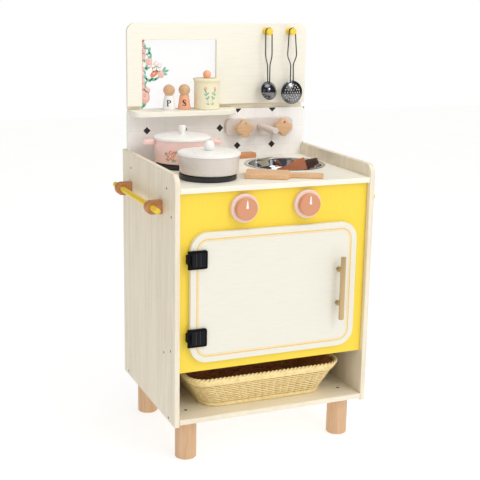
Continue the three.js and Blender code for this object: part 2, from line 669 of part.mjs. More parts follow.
const woodenSpatula = () => {
  const half = SPATULA.width / 2;
  const grip = SPATULA.grip / 2;
  const start = -(SPATULA.blade + SPATULA.handle) / 2;
  const neck = start + SPATULA.blade;
  const end = neck + SPATULA.handle;
  const outline = new THREE.Shape();
  outline.moveTo(start, -half);
  outline.lineTo(neck - SPATULA.shoulder, -half);
  outline.lineTo(neck, -grip);
  outline.lineTo(end, -grip);
  outline.lineTo(end, grip);
  outline.lineTo(neck, grip);
  outline.lineTo(neck - SPATULA.shoulder, half);
  outline.lineTo(start, half);
  return lying(outline, 0, SPATULA.thickness).rotateZ((SPATULA.turn * Math.PI) / 180)
    .translate(SPATULA.x, SPATULA.y, COUNTER_TOP + GAP);
};

// The brush leans on the back of the sink bowl, its bristles up to the right.
const BRUSH = { x: 121, y: 170, z: 635.5, turn: -20, lift: 16, tilt: 60, thickness: 10 };
const BRUSH_HANDLE = { start: -44, end: 26, grip: 13, head: 32 };
const BRISTLES = { length: 30, edge: 2, taper: 0.7, inset: 1 };

const placeBrush = (geometry) => geometry.rotateX((BRUSH.tilt * Math.PI) / 180)
  .rotateY((-BRUSH.lift * Math.PI) / 180).rotateZ((BRUSH.turn * Math.PI) / 180)
  .translate(BRUSH.x, BRUSH.y, BRUSH.z);

const brushHandle = () => {
  const { start, end } = BRUSH_HANDLE;
  const grip = BRUSH_HANDLE.grip / 2;
  const head = BRUSH_HANDLE.head / 2;
  const outline = new THREE.Shape();
  outline.moveTo(start, -grip);
  outline.bezierCurveTo(-10, -grip, 0, -head, end, -head);
  outline.lineTo(end, head);
  outline.bezierCurveTo(0, head, -10, grip, start, grip);
  return placeBrush(lying(outline, 0, BRUSH.thickness, 6));
};

const brushBristles = () => {
  const root = BRUSH_HANDLE.end + GAP;
  const tip = BRUSH_HANDLE.end + BRISTLES.length;
  const half = BRUSH_HANDLE.head / 2 - BRISTLES.edge;
  const outline = new THREE.Shape();
  outline.moveTo(root, -half);
  outline.lineTo(tip, -half * BRISTLES.taper);
  outline.lineTo(tip, half * BRISTLES.taper);
  outline.lineTo(root, half);
  return placeBrush(lying(outline, BRISTLES.inset, BRUSH.thickness - 2 * BRISTLES.inset));
};

// A tapered basket with round corners: rings of points joined into one closed skin, outside then inside.
const basket = () => {
  const middleY = (BASKET.front + BASKET.back) / 2;
  const halfY = (BASKET.back - BASKET.front) / 2;
  const ring = (lean, inset, z) => {
    const r = BASKET.corner - inset;
    const x = BASKET.x - inset - lean * BASKET_TAPER.x;
    const y = halfY - inset - lean * BASKET_TAPER.y;
    const shape = roundedRectangle(-x, x, -y, y, [r, r, r, r]);
    return shape.getPoints(5).slice(0, -1).map((p) => [p.x, p.y + middleY, z]);
  };
  const rings = [
    ring(1, 0, BASKET.bottom),
    ring(0, 0, BASKET.top),
    ring(0, BASKET.wall, BASKET.top),
    ring(1, BASKET.wall, BASKET.bottom + BASKET.floor),
  ];
  const count = rings[0].length;
  const index = [];
  for (let level = 0; level + 1 < rings.length; level += 1) {
    for (let i = 0; i < count; i += 1) {
      const a = level * count + i;
      const b = level * count + ((i + 1) % count);
      index.push(a, b, b + count, a, b + count, a + count);
    }
  }
  const centres = [[0, middleY, BASKET.bottom], [0, middleY, BASKET.bottom + BASKET.floor]];
  const lower = rings.length * count;
  for (let i = 0; i < count; i += 1) {
    const next = (i + 1) % count;
    const last = (rings.length - 1) * count;
    index.push(lower, next, i, lower + 1, last + i, last + next);
  }
  const geometry = new THREE.BufferGeometry();
  const points = [...rings.flat(), ...centres].flat();
  geometry.setAttribute("position", new THREE.Float32BufferAttribute(points, 3));
  geometry.setIndex(index);
  return geometry;
};

// ---------------------------------------------------------------- assembly

const kitchen = new THREE.Group();

const piece = (name, geometry, material) => {
  const mesh = new THREE.Mesh(geometry, material);
  mesh.name = name;
  kitchen.add(mesh);
};

const SIDES = [["left", -1], ["right", 1]];

SIDES.forEach(([name, side]) => piece(`${name}_side_panel`, sidePanel(side), FINISHES.birch));
piece("countertop", countertop(), FINISHES.cream);
piece("oven_floor", ovenFloor(), FINISHES.birch);
piece("bottom_shelf", bottomShelf(), FINISHES.birch);
piece("front_panel", frontPanel(), FINISHES.yellow);
piece("back_panel", backPanel(), FINISHES.birch);
SIDES.forEach(([name, side]) => {
  piece(`front_${name}_foot`, foot(side * FOOT.x, FOOT.front), FINISHES.beech);
  piece(`rear_${name}_foot`, foot(side * FOOT.x, FOOT.back), FINISHES.beech);
});

piece("splash_board", splashBoard(), FINISHES.tile);
piece("window_board", windowBoard(), FINISHES.cream);
piece("left_joining_batten", leftBatten(), FINISHES.birch);
piece("right_joining_batten", rightBatten(), FINISHES.birch);
piece("window_pane", windowPane(), FINISHES.clear);
piece("spice_sill", spiceSill(), FINISHES.cream);
piece("left_peg", peg(PEG.left), FINISHES.yellow);
piece("right_peg", peg(PEG.right), FINISHES.yellow);

piece("tap_body", tapBody(), FINISHES.blush);
piece("tap_spout", tapSpout(), FINISHES.beech);
piece("cold_tap_handle", tapHandle(-1), FINISHES.beech);
piece("hot_tap_handle", tapHandle(1), FINISHES.beech);
piece("front_burner", burner(HOB.front), FINISHES.black);
piece("back_burner", burner(HOB.back), FINISHES.black);
piece("sink_bowl", sinkBowl(), FINISHES.steel);

SIDES.forEach(([name, side]) => {
  const x = KNOB.centre + (side * KNOB.spacing) / 2;
  piece(`${name}_knob_ring`, knobRing(x), FINISHES.pink);
  piece(`${name}_knob_dial`, knobDial(x), FINISHES.orange);
});

piece("oven_door", ovenDoor(), FINISHES.cream);
piece("door_handle", doorHandle(), FINISHES.brass);
Object.entries(HINGE_CENTRES).forEach(([name, z]) => {
  piece(`${name}_hinge_door_leaf`, doorLeaf(z), FINISHES.black);
  piece(`${name}_hinge_frame_leaf`, frameLeaf(z), FINISHES.black);
  piece(`${name}_hinge_pin`, hingePin(z), FINISHES.steel);
});
piece("door_catch", doorCatch(), FINISHES.white);

SIDES.forEach(([name, side]) => {
  piece(`${name}_rail_bar`, railBar(side), FINISHES.yellow);
  piece(`${name}_rail_front_bracket`, railBracket(side, BRACKET.front), FINISHES.beech);
  piece(`${name}_rail_rear_bracket`, railBracket(side, BRACKET.back), FINISHES.beech);
});

piece("pink_pot", pinkPot(), FINISHES.pink);
piece("pink_pot_lid", pinkPotLid(), FINISHES.white);
piece("saucepan", saucepan(), FINISHES.grey);
piece("saucepan_handle", saucepanHandle(), FINISHES.beech);
piece("saucepan_lid", saucepanLid(), FINISHES.white);
piece("pepper_shaker", shaker(PEPPER_X), FINISHES.white);
piece("salt_shaker", shaker(SALT_X), FINISHES.orange);
piece("jar", jar(), FINISHES.cream);
piece("jar_lid", jarLid(), FINISHES.cream);
piece("ladle", ladle(), FINISHES.steel);
piece("skimmer", skimmer(), FINISHES.steel);
piece("wooden_spatula", woodenSpatula(), FINISHES.beech);
piece("brush_handle", brushHandle(), FINISHES.brownWood);
piece("brush_bristles", brushBristles(), FINISHES.bristle);
piece("basket", basket(), FINISHES.wicker);

// The footprint runs from the front of the door handle to the back of the side panels.
const footprintFront = handleY - HANDLE.radius;
kitchen.position.y = -(footprintFront + DEPTH) / 2;

export default kitchen;
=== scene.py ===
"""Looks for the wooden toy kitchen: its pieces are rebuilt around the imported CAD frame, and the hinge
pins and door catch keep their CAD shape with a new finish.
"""

import math
import random

import bmesh
import bpy
from mathutils import Matrix, Vector

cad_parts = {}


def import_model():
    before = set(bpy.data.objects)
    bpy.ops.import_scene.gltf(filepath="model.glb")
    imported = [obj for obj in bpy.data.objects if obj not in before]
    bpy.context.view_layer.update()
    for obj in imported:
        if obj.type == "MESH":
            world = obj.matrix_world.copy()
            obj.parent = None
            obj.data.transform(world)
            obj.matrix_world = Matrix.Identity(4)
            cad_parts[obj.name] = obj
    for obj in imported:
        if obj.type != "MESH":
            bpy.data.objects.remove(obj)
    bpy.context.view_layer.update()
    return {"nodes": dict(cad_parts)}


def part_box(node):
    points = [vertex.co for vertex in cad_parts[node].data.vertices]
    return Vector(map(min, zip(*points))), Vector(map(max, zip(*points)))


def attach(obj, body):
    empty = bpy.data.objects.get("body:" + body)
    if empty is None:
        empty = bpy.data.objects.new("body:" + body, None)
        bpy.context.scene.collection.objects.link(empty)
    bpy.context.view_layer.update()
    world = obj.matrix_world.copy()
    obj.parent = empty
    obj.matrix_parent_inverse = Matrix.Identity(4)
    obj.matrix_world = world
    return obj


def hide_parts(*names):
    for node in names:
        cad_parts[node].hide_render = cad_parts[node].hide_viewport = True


MM = 0.001
PROUD = 0.15  # how far a printed mark stands off the surface it is printed on
AXIS_RADIUS = 0.001  # of a turned piece's points on its axis, which are merged
NEARLY_STRAIGHT = 0.02  # in radians: a flatter corner isn't rounded
QUARTER = math.pi / 2
UP = Vector((0, 0, 1))

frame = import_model()


# ------------------------------------------------------------------ shader helpers


def linear(red, green, blue):
    """A colour given as 0..255 display values, as Blender's linear colour."""
    return tuple(
        (v / 255 / 12.92) if v <= 10 else ((v / 255 + 0.055) / 1.055) ** 2.4
        for v in (red, green, blue)
    ) + (1.0,)


class Shader:
    """A material with one Principled shader and helpers that add nodes in front of it."""

    def __init__(self, name, **sockets):
        self.material = bpy.data.materials.new(name)
        self.material.use_nodes = True
        self.tree = self.material.node_tree
        self.surface = self.tree.nodes["Principled BSDF"]
        for key, value in sockets.items():
            socket = key.replace("_", " ").title().replace("Ior", "IOR")
            self.surface.inputs[socket].default_value = value

    def node(self, kind, inputs=None, **properties):
        made = self.tree.nodes.new(kind)
        for key, value in properties.items():
            setattr(made, key, value)
        for key, value in (inputs or {}).items():
            if isinstance(value, bpy.types.NodeSocket):
                self.tree.links.new(value, made.inputs[key])
            else:
                made.inputs[key].default_value = value
        return made

    def math(self, operation, *values):
        return self.node("ShaderNodeMath", dict(enumerate(values)), operation=operation).outputs[0]

    def place(self, stretch=(1, 1, 1)):
        """Object coordinates in metres, multiplied by stretch."""
        where = self.node("ShaderNodeTexCoord").outputs["Object"]
        return self.node("ShaderNodeVectorMath", {0: where, 1: stretch}, operation="MULTIPLY").outputs[0]

    def noise(self, stretch, detail=3.0, roughness=0.55, distortion=0.0):
        inputs = {
            "Vector": self.place(stretch),
            "Scale": 1.0,
            "Detail": detail,
            "Roughness": roughness,
            "Distortion": distortion,
        }
        return self.node("ShaderNodeTexNoise", inputs).outputs["Fac"]

    def ramp(self, factor, *stops):
        made = self.node("ShaderNodeValToRGB", {"Fac": factor})
        elements = made.color_ramp.elements
        while len(elements) < len(stops):
            elements.new(0.5)
        for element, (position, colour) in zip(elements, stops):
            element.position = position
            element.color = colour
        return made.outputs["Color"]

    def span(self, factor, low, high):
        inputs = {"Value": factor, "To Min": low, "To Max": high}
        return self.node("ShaderNodeMapRange", inputs).outputs["Result"]

    def mix(self, factor, first, second, blend="MIX"):
        inputs = {"Factor": factor, 6: first, 7: second}
        made = self.node("ShaderNodeMix", inputs, data_type="RGBA", blend_type=blend)
        return made.outputs[2]

    def colour(self, socket):
        self.tree.links.new(socket, self.surface.inputs["Base Color"])

    def rough(self, socket):
        self.tree.links.new(socket, self.surface.inputs["Roughness"])

    def bump(self, height, depth, strength=1.0):
        """Relief of the given depth in metres."""
        inputs = {"Height": height, "Distance": depth, "Strength": strength}
        made = self.node("ShaderNodeBump", inputs)
        self.tree.links.new(made.outputs["Normal"], self.surface.inputs["Normal"])


def along(axis, fine, coarse):
    """A stretch vector that is coarse along one axis and fine across it, in waves per metre."""
    return tuple(coarse if letter == axis else fine for letter in "xyz")


def shade(colour, amount):
    return tuple(channel * amount for channel in colour[:3]) + (1.0,)


# ------------------------------------------------------------------ materials


def painted(name, colour, axis="x", roughness=0.42):
    """Satin paint on board: the grain telegraphs through as faint streaks and relief."""
    made = Shader(name, coat_weight=0.12, coat_roughness=0.3)
    streaks = made.noise(along(axis, 420, 26), detail=4)
    clouds = made.noise((22, 22, 22), detail=2)
    base = made.ramp(streaks, (0.3, shade(colour, 0.955)), (0.62, colour))
    made.colour(made.mix(made.span(clouds, 0.0, 0.16), base, shade(colour, 0.9)))
    made.rough(made.span(streaks, roughness - 0.06, roughness + 0.08))
    made.bump(made.noise(along(axis, 900, 60), detail=4), 0.06 * MM, 0.5)
    return made.material


def timber(name, light, dark, axis="z", roughness=0.5, figure=0.6):
    """Bare wood: broad growth bands, fine streaks and short dark pores along one axis."""
    made = Shader(name, coat_weight=0.06, coat_roughness=0.4)
    bands = made.noise(along(axis, 55, 4), detail=3, distortion=0.7)
    streaks = made.noise(along(axis, 480, 16), detail=5, roughness=0.65)
    pores = made.noise(along(axis, 1500, 90), detail=2)
    broad = made.ramp(bands, (0.32, dark), (0.62, light))
    fine = made.ramp(streaks, (0.3, shade(dark, 0.93)), (0.6, light))
    blended = made.mix(figure, broad, fine)
    specks = made.ramp(pores, (0.3, (0.78, 0.7, 0.62, 1)), (0.42, (1, 1, 1, 1)))
    made.colour(made.mix(0.5, blended, specks, "MULTIPLY"))
    made.rough(made.span(streaks, roughness - 0.07, roughness + 0.1))
    made.bump(streaks, 0.1 * MM, 0.5)
    return made.material


def enamel(name, colour, roughness=0.28):
    """Smooth sprayed finish with a slight orange-peel surface."""
    made = Shader(name, coat_weight=0.25, coat_roughness=0.18)
    tone = made.noise((60, 60, 60), detail=2)
    made.colour(made.ramp(tone, (0.35, shade(colour, 0.97)), (0.65, colour)))
    made.rough(made.span(made.noise((160, 160, 160)), roughness - 0.04, roughness + 0.06))
    made.bump(made.noise((700, 700, 700), detail=1), 0.02 * MM, 0.5)
    return made.material


def moulded(name, colour, roughness=0.42, shine=0.5):
    """Injection-moulded plastic with a fine spark-eroded texture."""
    made = Shader(name, specular_ior_level=shine)
    made.colour(made.ramp(made.noise((90, 90, 90)), (0.3, shade(colour, 0.85)), (0.7, colour)))
    made.rough(made.span(made.noise((400, 400, 400)), roughness - 0.08, roughness + 0.1))
    made.bump(made.noise((2600, 2600, 2600), detail=1), 0.03 * MM, 0.6)
    return made.material


def steel(name, colour, roughness, axis="z"):
    """Metal with hairline polishing marks."""
    made = Shader(name, metallic=1.0)
    marks = made.noise(along(axis, 1800, 40), detail=3)
    made.colour(made.ramp(marks, (0.3, shade(colour, 0.94)), (0.7, colour)))
    made.rough(made.span(marks, roughness * 0.75, roughness * 1.35))
    made.bump(marks, 0.01 * MM, 0.25)
    return made.material


def cane(name, light, dark):
    """Split wicker: each strand varies along its length, with fine fibres."""
    made = Shader(name, sheen_weight=0.05)
    patches = made.noise((75, 75, 130), detail=3)
    fibres = made.noise((900, 900, 1400), detail=3)
    base = made.ramp(patches, (0.3, dark), (0.52, light), (0.75, shade(light, 1.06)))
    made.colour(made.mix(made.span(fibres, 0.0, 0.35), base, shade(dark, 0.8)))
    made.rough(made.span(fibres, 0.45, 0.7))
    made.bump(fibres, 0.12 * MM, 0.7)
    return made.material


def hair(name, colour):
    made = Shader(name, sheen_weight=0.1)
    tone = made.noise((300, 300, 300))
    made.colour(made.ramp(tone, (0.3, shade(colour, 0.6)), (0.7, shade(colour, 1.5))))
    made.rough(made.span(tone, 0.55, 0.75))
    return made.material


def ink(name, colour, roughness=0.45):
    """Screen-printed ink, a touch uneven."""
    made = Shader(name)
    tone = made.noise((220, 220, 220), detail=4)
    made.colour(made.ramp(tone, (0.35, shade(colour, 0.93)), (0.6, colour)))
    made.rough(made.span(tone, roughness - 0.05, roughness + 0.08))
    return made.material


def clear_sheet(name):
    made = Shader(name, alpha=0.08, ior=1.3)
    tone = made.noise((30, 30, 30))
    made.colour(made.ramp(tone, (0.3, (0.97, 0.98, 0.98, 1)), (0.7, (1, 1, 1, 1))))
    made.rough(made.span(tone, 0.04, 0.09))
    return made.material


CREAM = linear(246, 242, 228)
GREEN = linear(132, 196, 168)

TILE_WIDTH = 47.25 * MM
TILE_HEIGHT = 45.5 * MM
DIAMOND = 9.2 * MM  # half a diagonal
DIAMOND_X = 3 * MM  # one diamond of the middle row
HALF_JOINT = 0.55 * MM
MIDDLE_ROW_BELOW_TOP = 46.8 * MM


def tile_print(name, board):
    """White tiles printed on a board's front: pale joints, and a black diamond on every second crossing."""
    made = Shader(name, coat_weight=0.2, coat_roughness=0.25)
    parts = made.node("ShaderNodeSeparateXYZ", {0: made.place()}).outputs
    low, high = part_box(board)
    row = high.z - MIDDLE_ROW_BELOW_TOP

    def wrapped(value, origin, pitch):
        shifted = made.math("SUBTRACT", value, origin)
        return made.math("ABSOLUTE", made.math("WRAP", shifted, pitch / 2, -pitch / 2))

    def diamonds(x, z):
        far = made.math("ADD", wrapped(parts[0], x, 2 * TILE_WIDTH), wrapped(parts[2], z, 2 * TILE_HEIGHT))
        return made.math("LESS_THAN", far, DIAMOND)

    even_rows = diamonds(DIAMOND_X, row)
    odd_rows = diamonds(DIAMOND_X + TILE_WIDTH, row + TILE_HEIGHT)
    black = made.math("MAXIMUM", even_rows, odd_rows)
    inside = made.math("GREATER_THAN", parts[0], low.x + 2 * DIAMOND)
    black = made.math("MULTIPLY", black, inside)
    joint = made.math(
        "LESS_THAN",
        made.math("MINIMUM", wrapped(parts[0], DIAMOND_X, TILE_WIDTH), wrapped(parts[2], row, TILE_HEIGHT)),
        HALF_JOINT,
    )
    clouds = made.noise((35, 35, 35), detail=4)
    glaze = made.ramp(clouds, (0.3, linear(246, 243, 240)), (0.65, linear(252, 250, 248)))
    jointed = made.mix(made.math("MULTIPLY", joint, 0.24), glaze, linear(205, 198, 192))
    facing = made.node("ShaderNodeSeparateXYZ", {0: made.node("ShaderNodeNewGeometry").outputs["Normal"]})
    front = made.math("LESS_THAN", facing.outputs[1], -0.5)
    printed = made.mix(black, jointed, linear(34, 36, 42))
    made.colour(made.mix(front, CREAM, printed))
    made.rough(made.span(clouds, 0.3, 0.45))
    made.bump(made.noise((500, 500, 500), detail=2), 0.03 * MM, 0.5)
    return made.material


BIRCH = timber("birch_veneer", linear(243, 234, 214), linear(228, 214, 190), "z", 0.55, 0.45)
BIRCH_FLAT = timber("birch_veneer_flat", linear(244, 236, 216), linear(232, 219, 194), "x", 0.55, 0.45)
BEECH = timber("beech_upright", linear(222, 184, 146), linear(203, 160, 120), "z")
BEECH_FLAT = timber("beech_lying", linear(232, 192, 148), linear(214, 168, 122), "x")
TAN = timber("tan_beech", linear(205, 145, 96), linear(180, 118, 74), "x")
RED_WOOD = timber("red_brown_wood", linear(186, 112, 70), linear(150, 82, 48), "x")
CREAM_PAINT = painted("cream_paint", CREAM)
CREAM_DOOR = painted("cream_door_paint", linear(235, 232, 219))
YELLOW_PAINT = painted("yellow_paint", linear(249, 219, 66), "z")
YELLOW_ROD = painted("yellow_dowel_paint", linear(246, 211, 58), "y")
BLUSH_PAINT = painted("blush_paint", linear(228, 217, 210))
BLUSH_ROD = painted("blush_spout_paint", linear(226, 213, 205), "y")
PINK_PAINT = painted("pink_ring_paint", linear(244, 216, 207))
ORANGE_PAINT = painted("orange_dial_paint", linear(216, 149, 113), "z")
BLACK_PAINT = painted("burner_paint", linear(34, 35, 39), roughness=0.36)
PINK_ENAMEL = enamel("pink_pot_finish", linear(252, 214, 206))
GREY_ENAMEL = enamel("grey_pot_finish", linear(215, 206, 199))
WHITE_ENAMEL = enamel("white_lid_finish", linear(247, 245, 242))
WHITE_SHAKER = enamel("white_shaker_finish", linear(246, 243, 242), 0.4)
ORANGE_SHAKER = enamel("orange_shaker_finish", linear(244, 176, 138), 0.42)
JAR_PAINT = enamel("cream_jar_finish", linear(244, 236, 204), 0.42)
BLACK_PLASTIC = moulded("hinge_plastic", linear(14, 14, 17), 0.55, shine=0.12)
GREY_PLASTIC = moulded("hinge_cover_plastic", linear(30, 30, 34), 0.55, shine=0.12)
# dark fill for screws' cross recesses and the hinge covers' grooves: painted shade where a recess would be
RECESS_PAINTED_SHADE = moulded("recess_painted_shade", linear(38, 38, 42))
WHITE_PLASTIC = moulded("catch_plastic", linear(240, 240, 238))
MIRROR_STEEL = steel("polished_steel", linear(214, 216, 220), 0.07)
SPOON_STEEL = steel("spoon_steel", linear(128, 130, 136), 0.15)
SCREW_STEEL = steel("screw_zinc", linear(120, 120, 124), 0.32)
GOLD = steel("satin_gold", linear(206, 178, 132), 0.3)
WICKER = cane("wicker", linear(254, 236, 180), linear(246, 214, 142))
# a darker brown copy of the wicker for the basket's floor and an inner sheet: painted shade of the basket's
# hollow
WICKER_PAINTED_SHADE = cane("wicker_inside_painted_shade", linear(214, 140, 86), linear(174, 102, 56))
BRISTLE = hair("dark_bristles", linear(88, 58, 50))
PANE = clear_sheet("window_film")
NAVY_INK = ink("letter_ink", linear(44, 42, 62))
ROSE_INK = ink("rose_ink", linear(240, 186, 174))
PALE_ROSE_INK = ink("pale_rose_ink", linear(247, 206, 198))
CORAL_INK = ink("coral_ink", linear(228, 140, 100))
WHITE_INK = ink("white_ink", linear(250, 246, 238))
LEAF_INK = ink("leaf_ink", GREEN)
BLUE_INK = ink("cold_dot_ink", linear(96, 180, 214))
RED_INK = ink("hot_dot_ink", linear(208, 62, 62))
GOLD_INK = ink("pinstripe_ink", linear(244, 200, 92))
PALE_GOLD_INK = ink("inner_pinstripe_ink", linear(247, 214, 140))


# ------------------------------------------------------------------ mesh helpers, in millimetres


def box(node):
    """A CAD node's lowest and highest corners at rest, in millimetres."""
    low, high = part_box(node)
    return low / MM, high / MM


def measure(node):
    """A CAD node's lowest corner, centre and size at rest, in millimetres."""
    low, high = box(node)
    return low, (low + high) / 2, high - low


def turns(count):
    """Angles at equal steps round a full turn."""
    return [2 * math.pi * k / count for k in range(count)]


def new_piece(name, mesh, materials, body, nodes=()):
    """Links a mesh as a piece: its materials, body, and the CAD nodes it stands for."""
    piece = bpy.data.objects.new(name, mesh)
    bpy.context.scene.collection.objects.link(piece)
    for material in materials:
        mesh.materials.append(material)
    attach(piece, body)
    if nodes:
        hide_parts(*nodes)
    return piece


class Builder:
    """Collects faces in millimetres and turns them into one smooth-shaded object."""

    def __init__(self):
        self.points = []
        self.faces = []
        self.kinds = []

    def add(self, points, faces, kind=0):
        first = len(self.points)
        self.points += [tuple(p) for p in points]
        self.faces += [tuple(first + i for i in face) for face in faces]
        self.kinds += [kind] * len(faces)

    def rings(self, rings, closed=True, caps=False, kind=0):
        """Quads between rings of the same size; caps fill the first and the last."""
        count = len(rings[0])
        span = count if closed else count - 1
        faces = []
        for level in range(len(rings) - 1):
            for i in range(span):
                a = level * count + i
                b = level * count + (i + 1) % count
                faces.append((a, b, b + count, a + count))
        if caps:
            faces.append(tuple(reversed(range(count))))
            faces.append(tuple((len(rings) - 1) * count + i for i in range(count)))
        self.add([p for ring in rings for p in ring], faces, kind)

    def tube(self, path, radius, sides=8, closed=False, kind=0, flat=1.0):
        """A round strand along a path; flat squeezes it along its own normal."""
        path = [Vector(p) for p in path]
        count = len(path)
        angles = turns(sides)
        normal = None
        rings = []
        for i, point in enumerate(path):
            before = path[i - 1] if i or closed else path[i]
            after = path[(i + 1) % count] if i + 1 < count or closed else path[i]
            tangent = (after - before).normalized()
            if normal is None:
                normal = tangent.orthogonal().normalized()
            normal = (normal - tangent * normal.dot(tangent)).normalized()
            side = tangent.cross(normal)
            size = radius[i] if isinstance(radius, (list, tuple)) else radius
            rings.append([
                point + size * (flat * math.cos(a) * normal + math.sin(a) * side) for a in angles
            ])
        if closed:
            self.rings(rings + rings[:1], kind=kind)
        else:
            self.rings(rings, caps=True, kind=kind)

    def turned(self, profile, place, segments=72):
        """A profile of (radius, height) points turned about z, then put in place by a matrix."""
        angles = turns(segments)
        rings = []
        for r, h in profile:
            r = max(r, AXIS_RADIUS)
            rings.append([place @ Vector((r * math.cos(a), r * math.sin(a), h)) for a in angles])
        self.rings(rings)

    def slab(self, outline, low, high, edge, place, kind=0, steps=4):
        """A flat piece with a convex outline and rounded edges, between two heights."""
        rings = []
        for k in range(steps + 1):
            a = QUARTER * k / steps
            rings.append((edge * (1 - math.sin(a)), low + edge * (1 - math.cos(a))))
        rings += [(inset, low + high - z) for inset, z in reversed(rings)]
        self.rings(
            [[place @ Vector((x, y, z)) for x, y in shrunk(outline, inset)] for inset, z in rings],
            caps=True,
            kind=kind,
        )

    def make(self, name, materials, body, nodes=(), sharp=35):
        mesh = bpy.data.meshes.new(name)
        mesh.from_pydata([(x * MM, y * MM, z * MM) for x, y, z in self.points], [], self.faces)
        mesh.polygons.foreach_set("material_index", self.kinds)
        work = bmesh.new()
        work.from_mesh(mesh)
        bmesh.ops.remove_doubles(work, verts=work.verts, dist=4 * AXIS_RADIUS * MM)
        bmesh.ops.recalc_face_normals(work, faces=work.faces)
        work.to_mesh(mesh)
        work.free()
        mesh.shade_smooth()
        mesh.set_sharp_from_angle(angle=math.radians(sharp))
        return new_piece(name, mesh, materials, body, nodes)


def shrunk(outline, inset):
    """A closed convex outline (counter-clockwise) moved inwards."""
    moved = []
    for i, (x, y) in enumerate(outline):
        ax, ay = outline[i - 1]
        bx, by = outline[(i + 1) % len(outline)]
        along_edge = Vector((bx - ax, by - ay)).normalized()
        moved.append((x - along_edge.y * inset, y + along_edge.x * inset))
    return moved


def rounded_rectangle(x0, x1, y0, y1, radius, steps=8):
    """Counter-clockwise points of a rectangle with round corners."""
    corners = (
        (x1 - radius, y0 + radius, -1),
        (x1 - radius, y1 - radius, 0),
        (x0 + radius, y1 - radius, 1),
        (x0 + radius, y0 + radius, 2),
    )
    points = []
    for cx, cy, start in corners:
        for k in range(steps + 1):
            a = QUARTER * (start + k / steps)
            points.append((cx + radius * math.cos(a), cy + radius * math.sin(a)))
    return points


def bend(start, corner, end, steps):
    """Points of a curve from start to end that is drawn towards a corner."""
    shares = [k / steps for k in range(steps + 1)]
    return [start * (1 - t) ** 2 + corner * 2 * t * (1 - t) + end * t * t for t in shares]


def filleted(profile, steps=5):
    """(radius, height, fillet) points with each inner corner rounded, as (radius, height) points."""
    rounded = [profile[0][:2]]
    for before, here, after in zip(profile, profile[1:], profile[2:]):
        corner = Vector(here[:2])
        back = Vector(before[:2]) - corner
        ahead = Vector(after[:2]) - corner
        turn = math.pi - back.angle(ahead, math.pi)
        if here[2] <= 0 or turn < NEARLY_STRAIGHT:
            rounded.append(tuple(corner))
            continue
        reach = min(here[2] * math.tan(turn / 2), back.length * 0.49, ahead.length * 0.49)
        start = corner + back.normalized() * reach
        end = corner + ahead.normalized() * reach
        rounded += [tuple(point) for point in bend(start, corner, end, steps)]
    rounded.append(profile[-1][:2])
    return rounded


def rod(radius, length, edge, far_edge=None):
    """The profile of a plain rod with rounded ends."""
    far_edge = edge if far_edge is None else far_edge
    return filleted([(0, 0, 0), (radius, 0, edge), (radius, length, far_edge), (0, length, 0)])


def arc(r, h, radius, start, end, steps=14):
    """(radius, height) points along an arc given in degrees."""
    angles = [math.radians(start + (end - start) * k / steps) for k in range(steps + 1)]
    return [(r + radius * math.cos(a), h + radius * math.sin(a)) for a in angles]


def standing(x, y, z):
    return Matrix.Translation((x, y, z))


def pointing_front(x, y, z):
    """A turned piece's axis points to the front, -y, with its foot at y."""
    return standing(x, y, z) @ Matrix.Rotation(QUARTER, 4, "X")


def foot_of(node):
    """The middle of a node's underside, with the axis up."""
    low, centre, _ = measure(node)
    return standing(centre.x, centre.y, low.z)


def back_of(node):
    """The middle of a node's back, with the axis to the front."""
    low, centre, size = measure(node)
    return pointing_front(centre.x, low.y + size.y, centre.z)


def turned_piece(name, profile, place, segments, material, body, nodes=()):
    """A piece of one turned profile."""
    piece = Builder()
    piece.turned(profile, place, segments)
    piece.make(name, [material], body, nodes)


def turned_node(node, kind, profile, segments, material, body="cabinet", place=None):
    """A turned piece that stands for a CAD node, forwards from the node's back or in a given place."""
    place = place or back_of(node)
    turned_piece(f"{node}_{kind}", profile, place, segments, material, body, [node])


def softened(node, edge, material, body="cabinet", segments=3):
    """A copy of a CAD board or fitting with every sharp edge eased, which stands for it."""
    mesh = bpy.data.meshes.new(f"{node}_eased")
    work = bmesh.new()
    work.from_mesh(frame["nodes"][node].data)
    bmesh.ops.remove_doubles(work, verts=work.verts, dist=0.005 * MM)
    bmesh.ops.dissolve_limit(work, angle_limit=math.radians(0.6), verts=work.verts, edges=work.edges)
    sharp = [e for e in work.edges if len(e.link_faces) == 2 and e.calc_face_angle(0) > math.radians(40)]
    width = edge * MM
    bmesh.ops.bevel(
        work, geom=sharp, offset=width, segments=segments, profile=0.5, affect="EDGES", clamp_overlap=True
    )
    work.to_mesh(mesh)
    work.free()
    mesh.materials.clear()
    mesh.shade_smooth()
    mesh.set_sharp_from_angle(angle=math.radians(50))
    piece = new_piece(mesh.name, mesh, [material], body, [node])
    normals = piece.modifiers.new("face_weighted_normals", "WEIGHTED_NORMAL")
    normals.keep_sharp = True


def coat_cad_node(node, material):
    """A CAD node that keeps its shape gets a finished material."""
    mesh = frame["nodes"][node].data
    mesh.materials.clear()
    mesh.materials.append(material)


# ------------------------------------------------------------------ cabinet and upright boards

CORNERS = ("front_left", "rear_left", "front_right", "rear_right")


def boards():
    for side in ("left", "right"):
        softened(f"{side}_side_panel", 1.6, BIRCH)
        softened(f"{side}_joining_batten", 0.8, BIRCH_FLAT)
    softened("countertop", 0.8, CREAM_PAINT)
    softened("bottom_shelf", 0.8, BIRCH_FLAT)
    softened("oven_floor", 0.6, BIRCH_FLAT)
    softened("back_panel", 0.6, BIRCH)
    softened("front_panel", 0.7, YELLOW_PAINT)
    softened("splash_board", 0.6, tile_print("tile_print", "splash_board"))
    softened("window_board", 1.4, CREAM_PAINT)
    softened("spice_sill", 1.6, CREAM_PAINT)
    softened("window_pane", 0.3, PANE)
    softened("tap_body", 1.6, BLUSH_PAINT)


def feet():
    for where in CORNERS:
        node = f"{where}_foot"
        size = measure(node)[2]
        profile = rod(size.x / 2, size.z, 3, 0.8)
        turned_node(node, "turned", profile, 72, BEECH, place=foot_of(node))


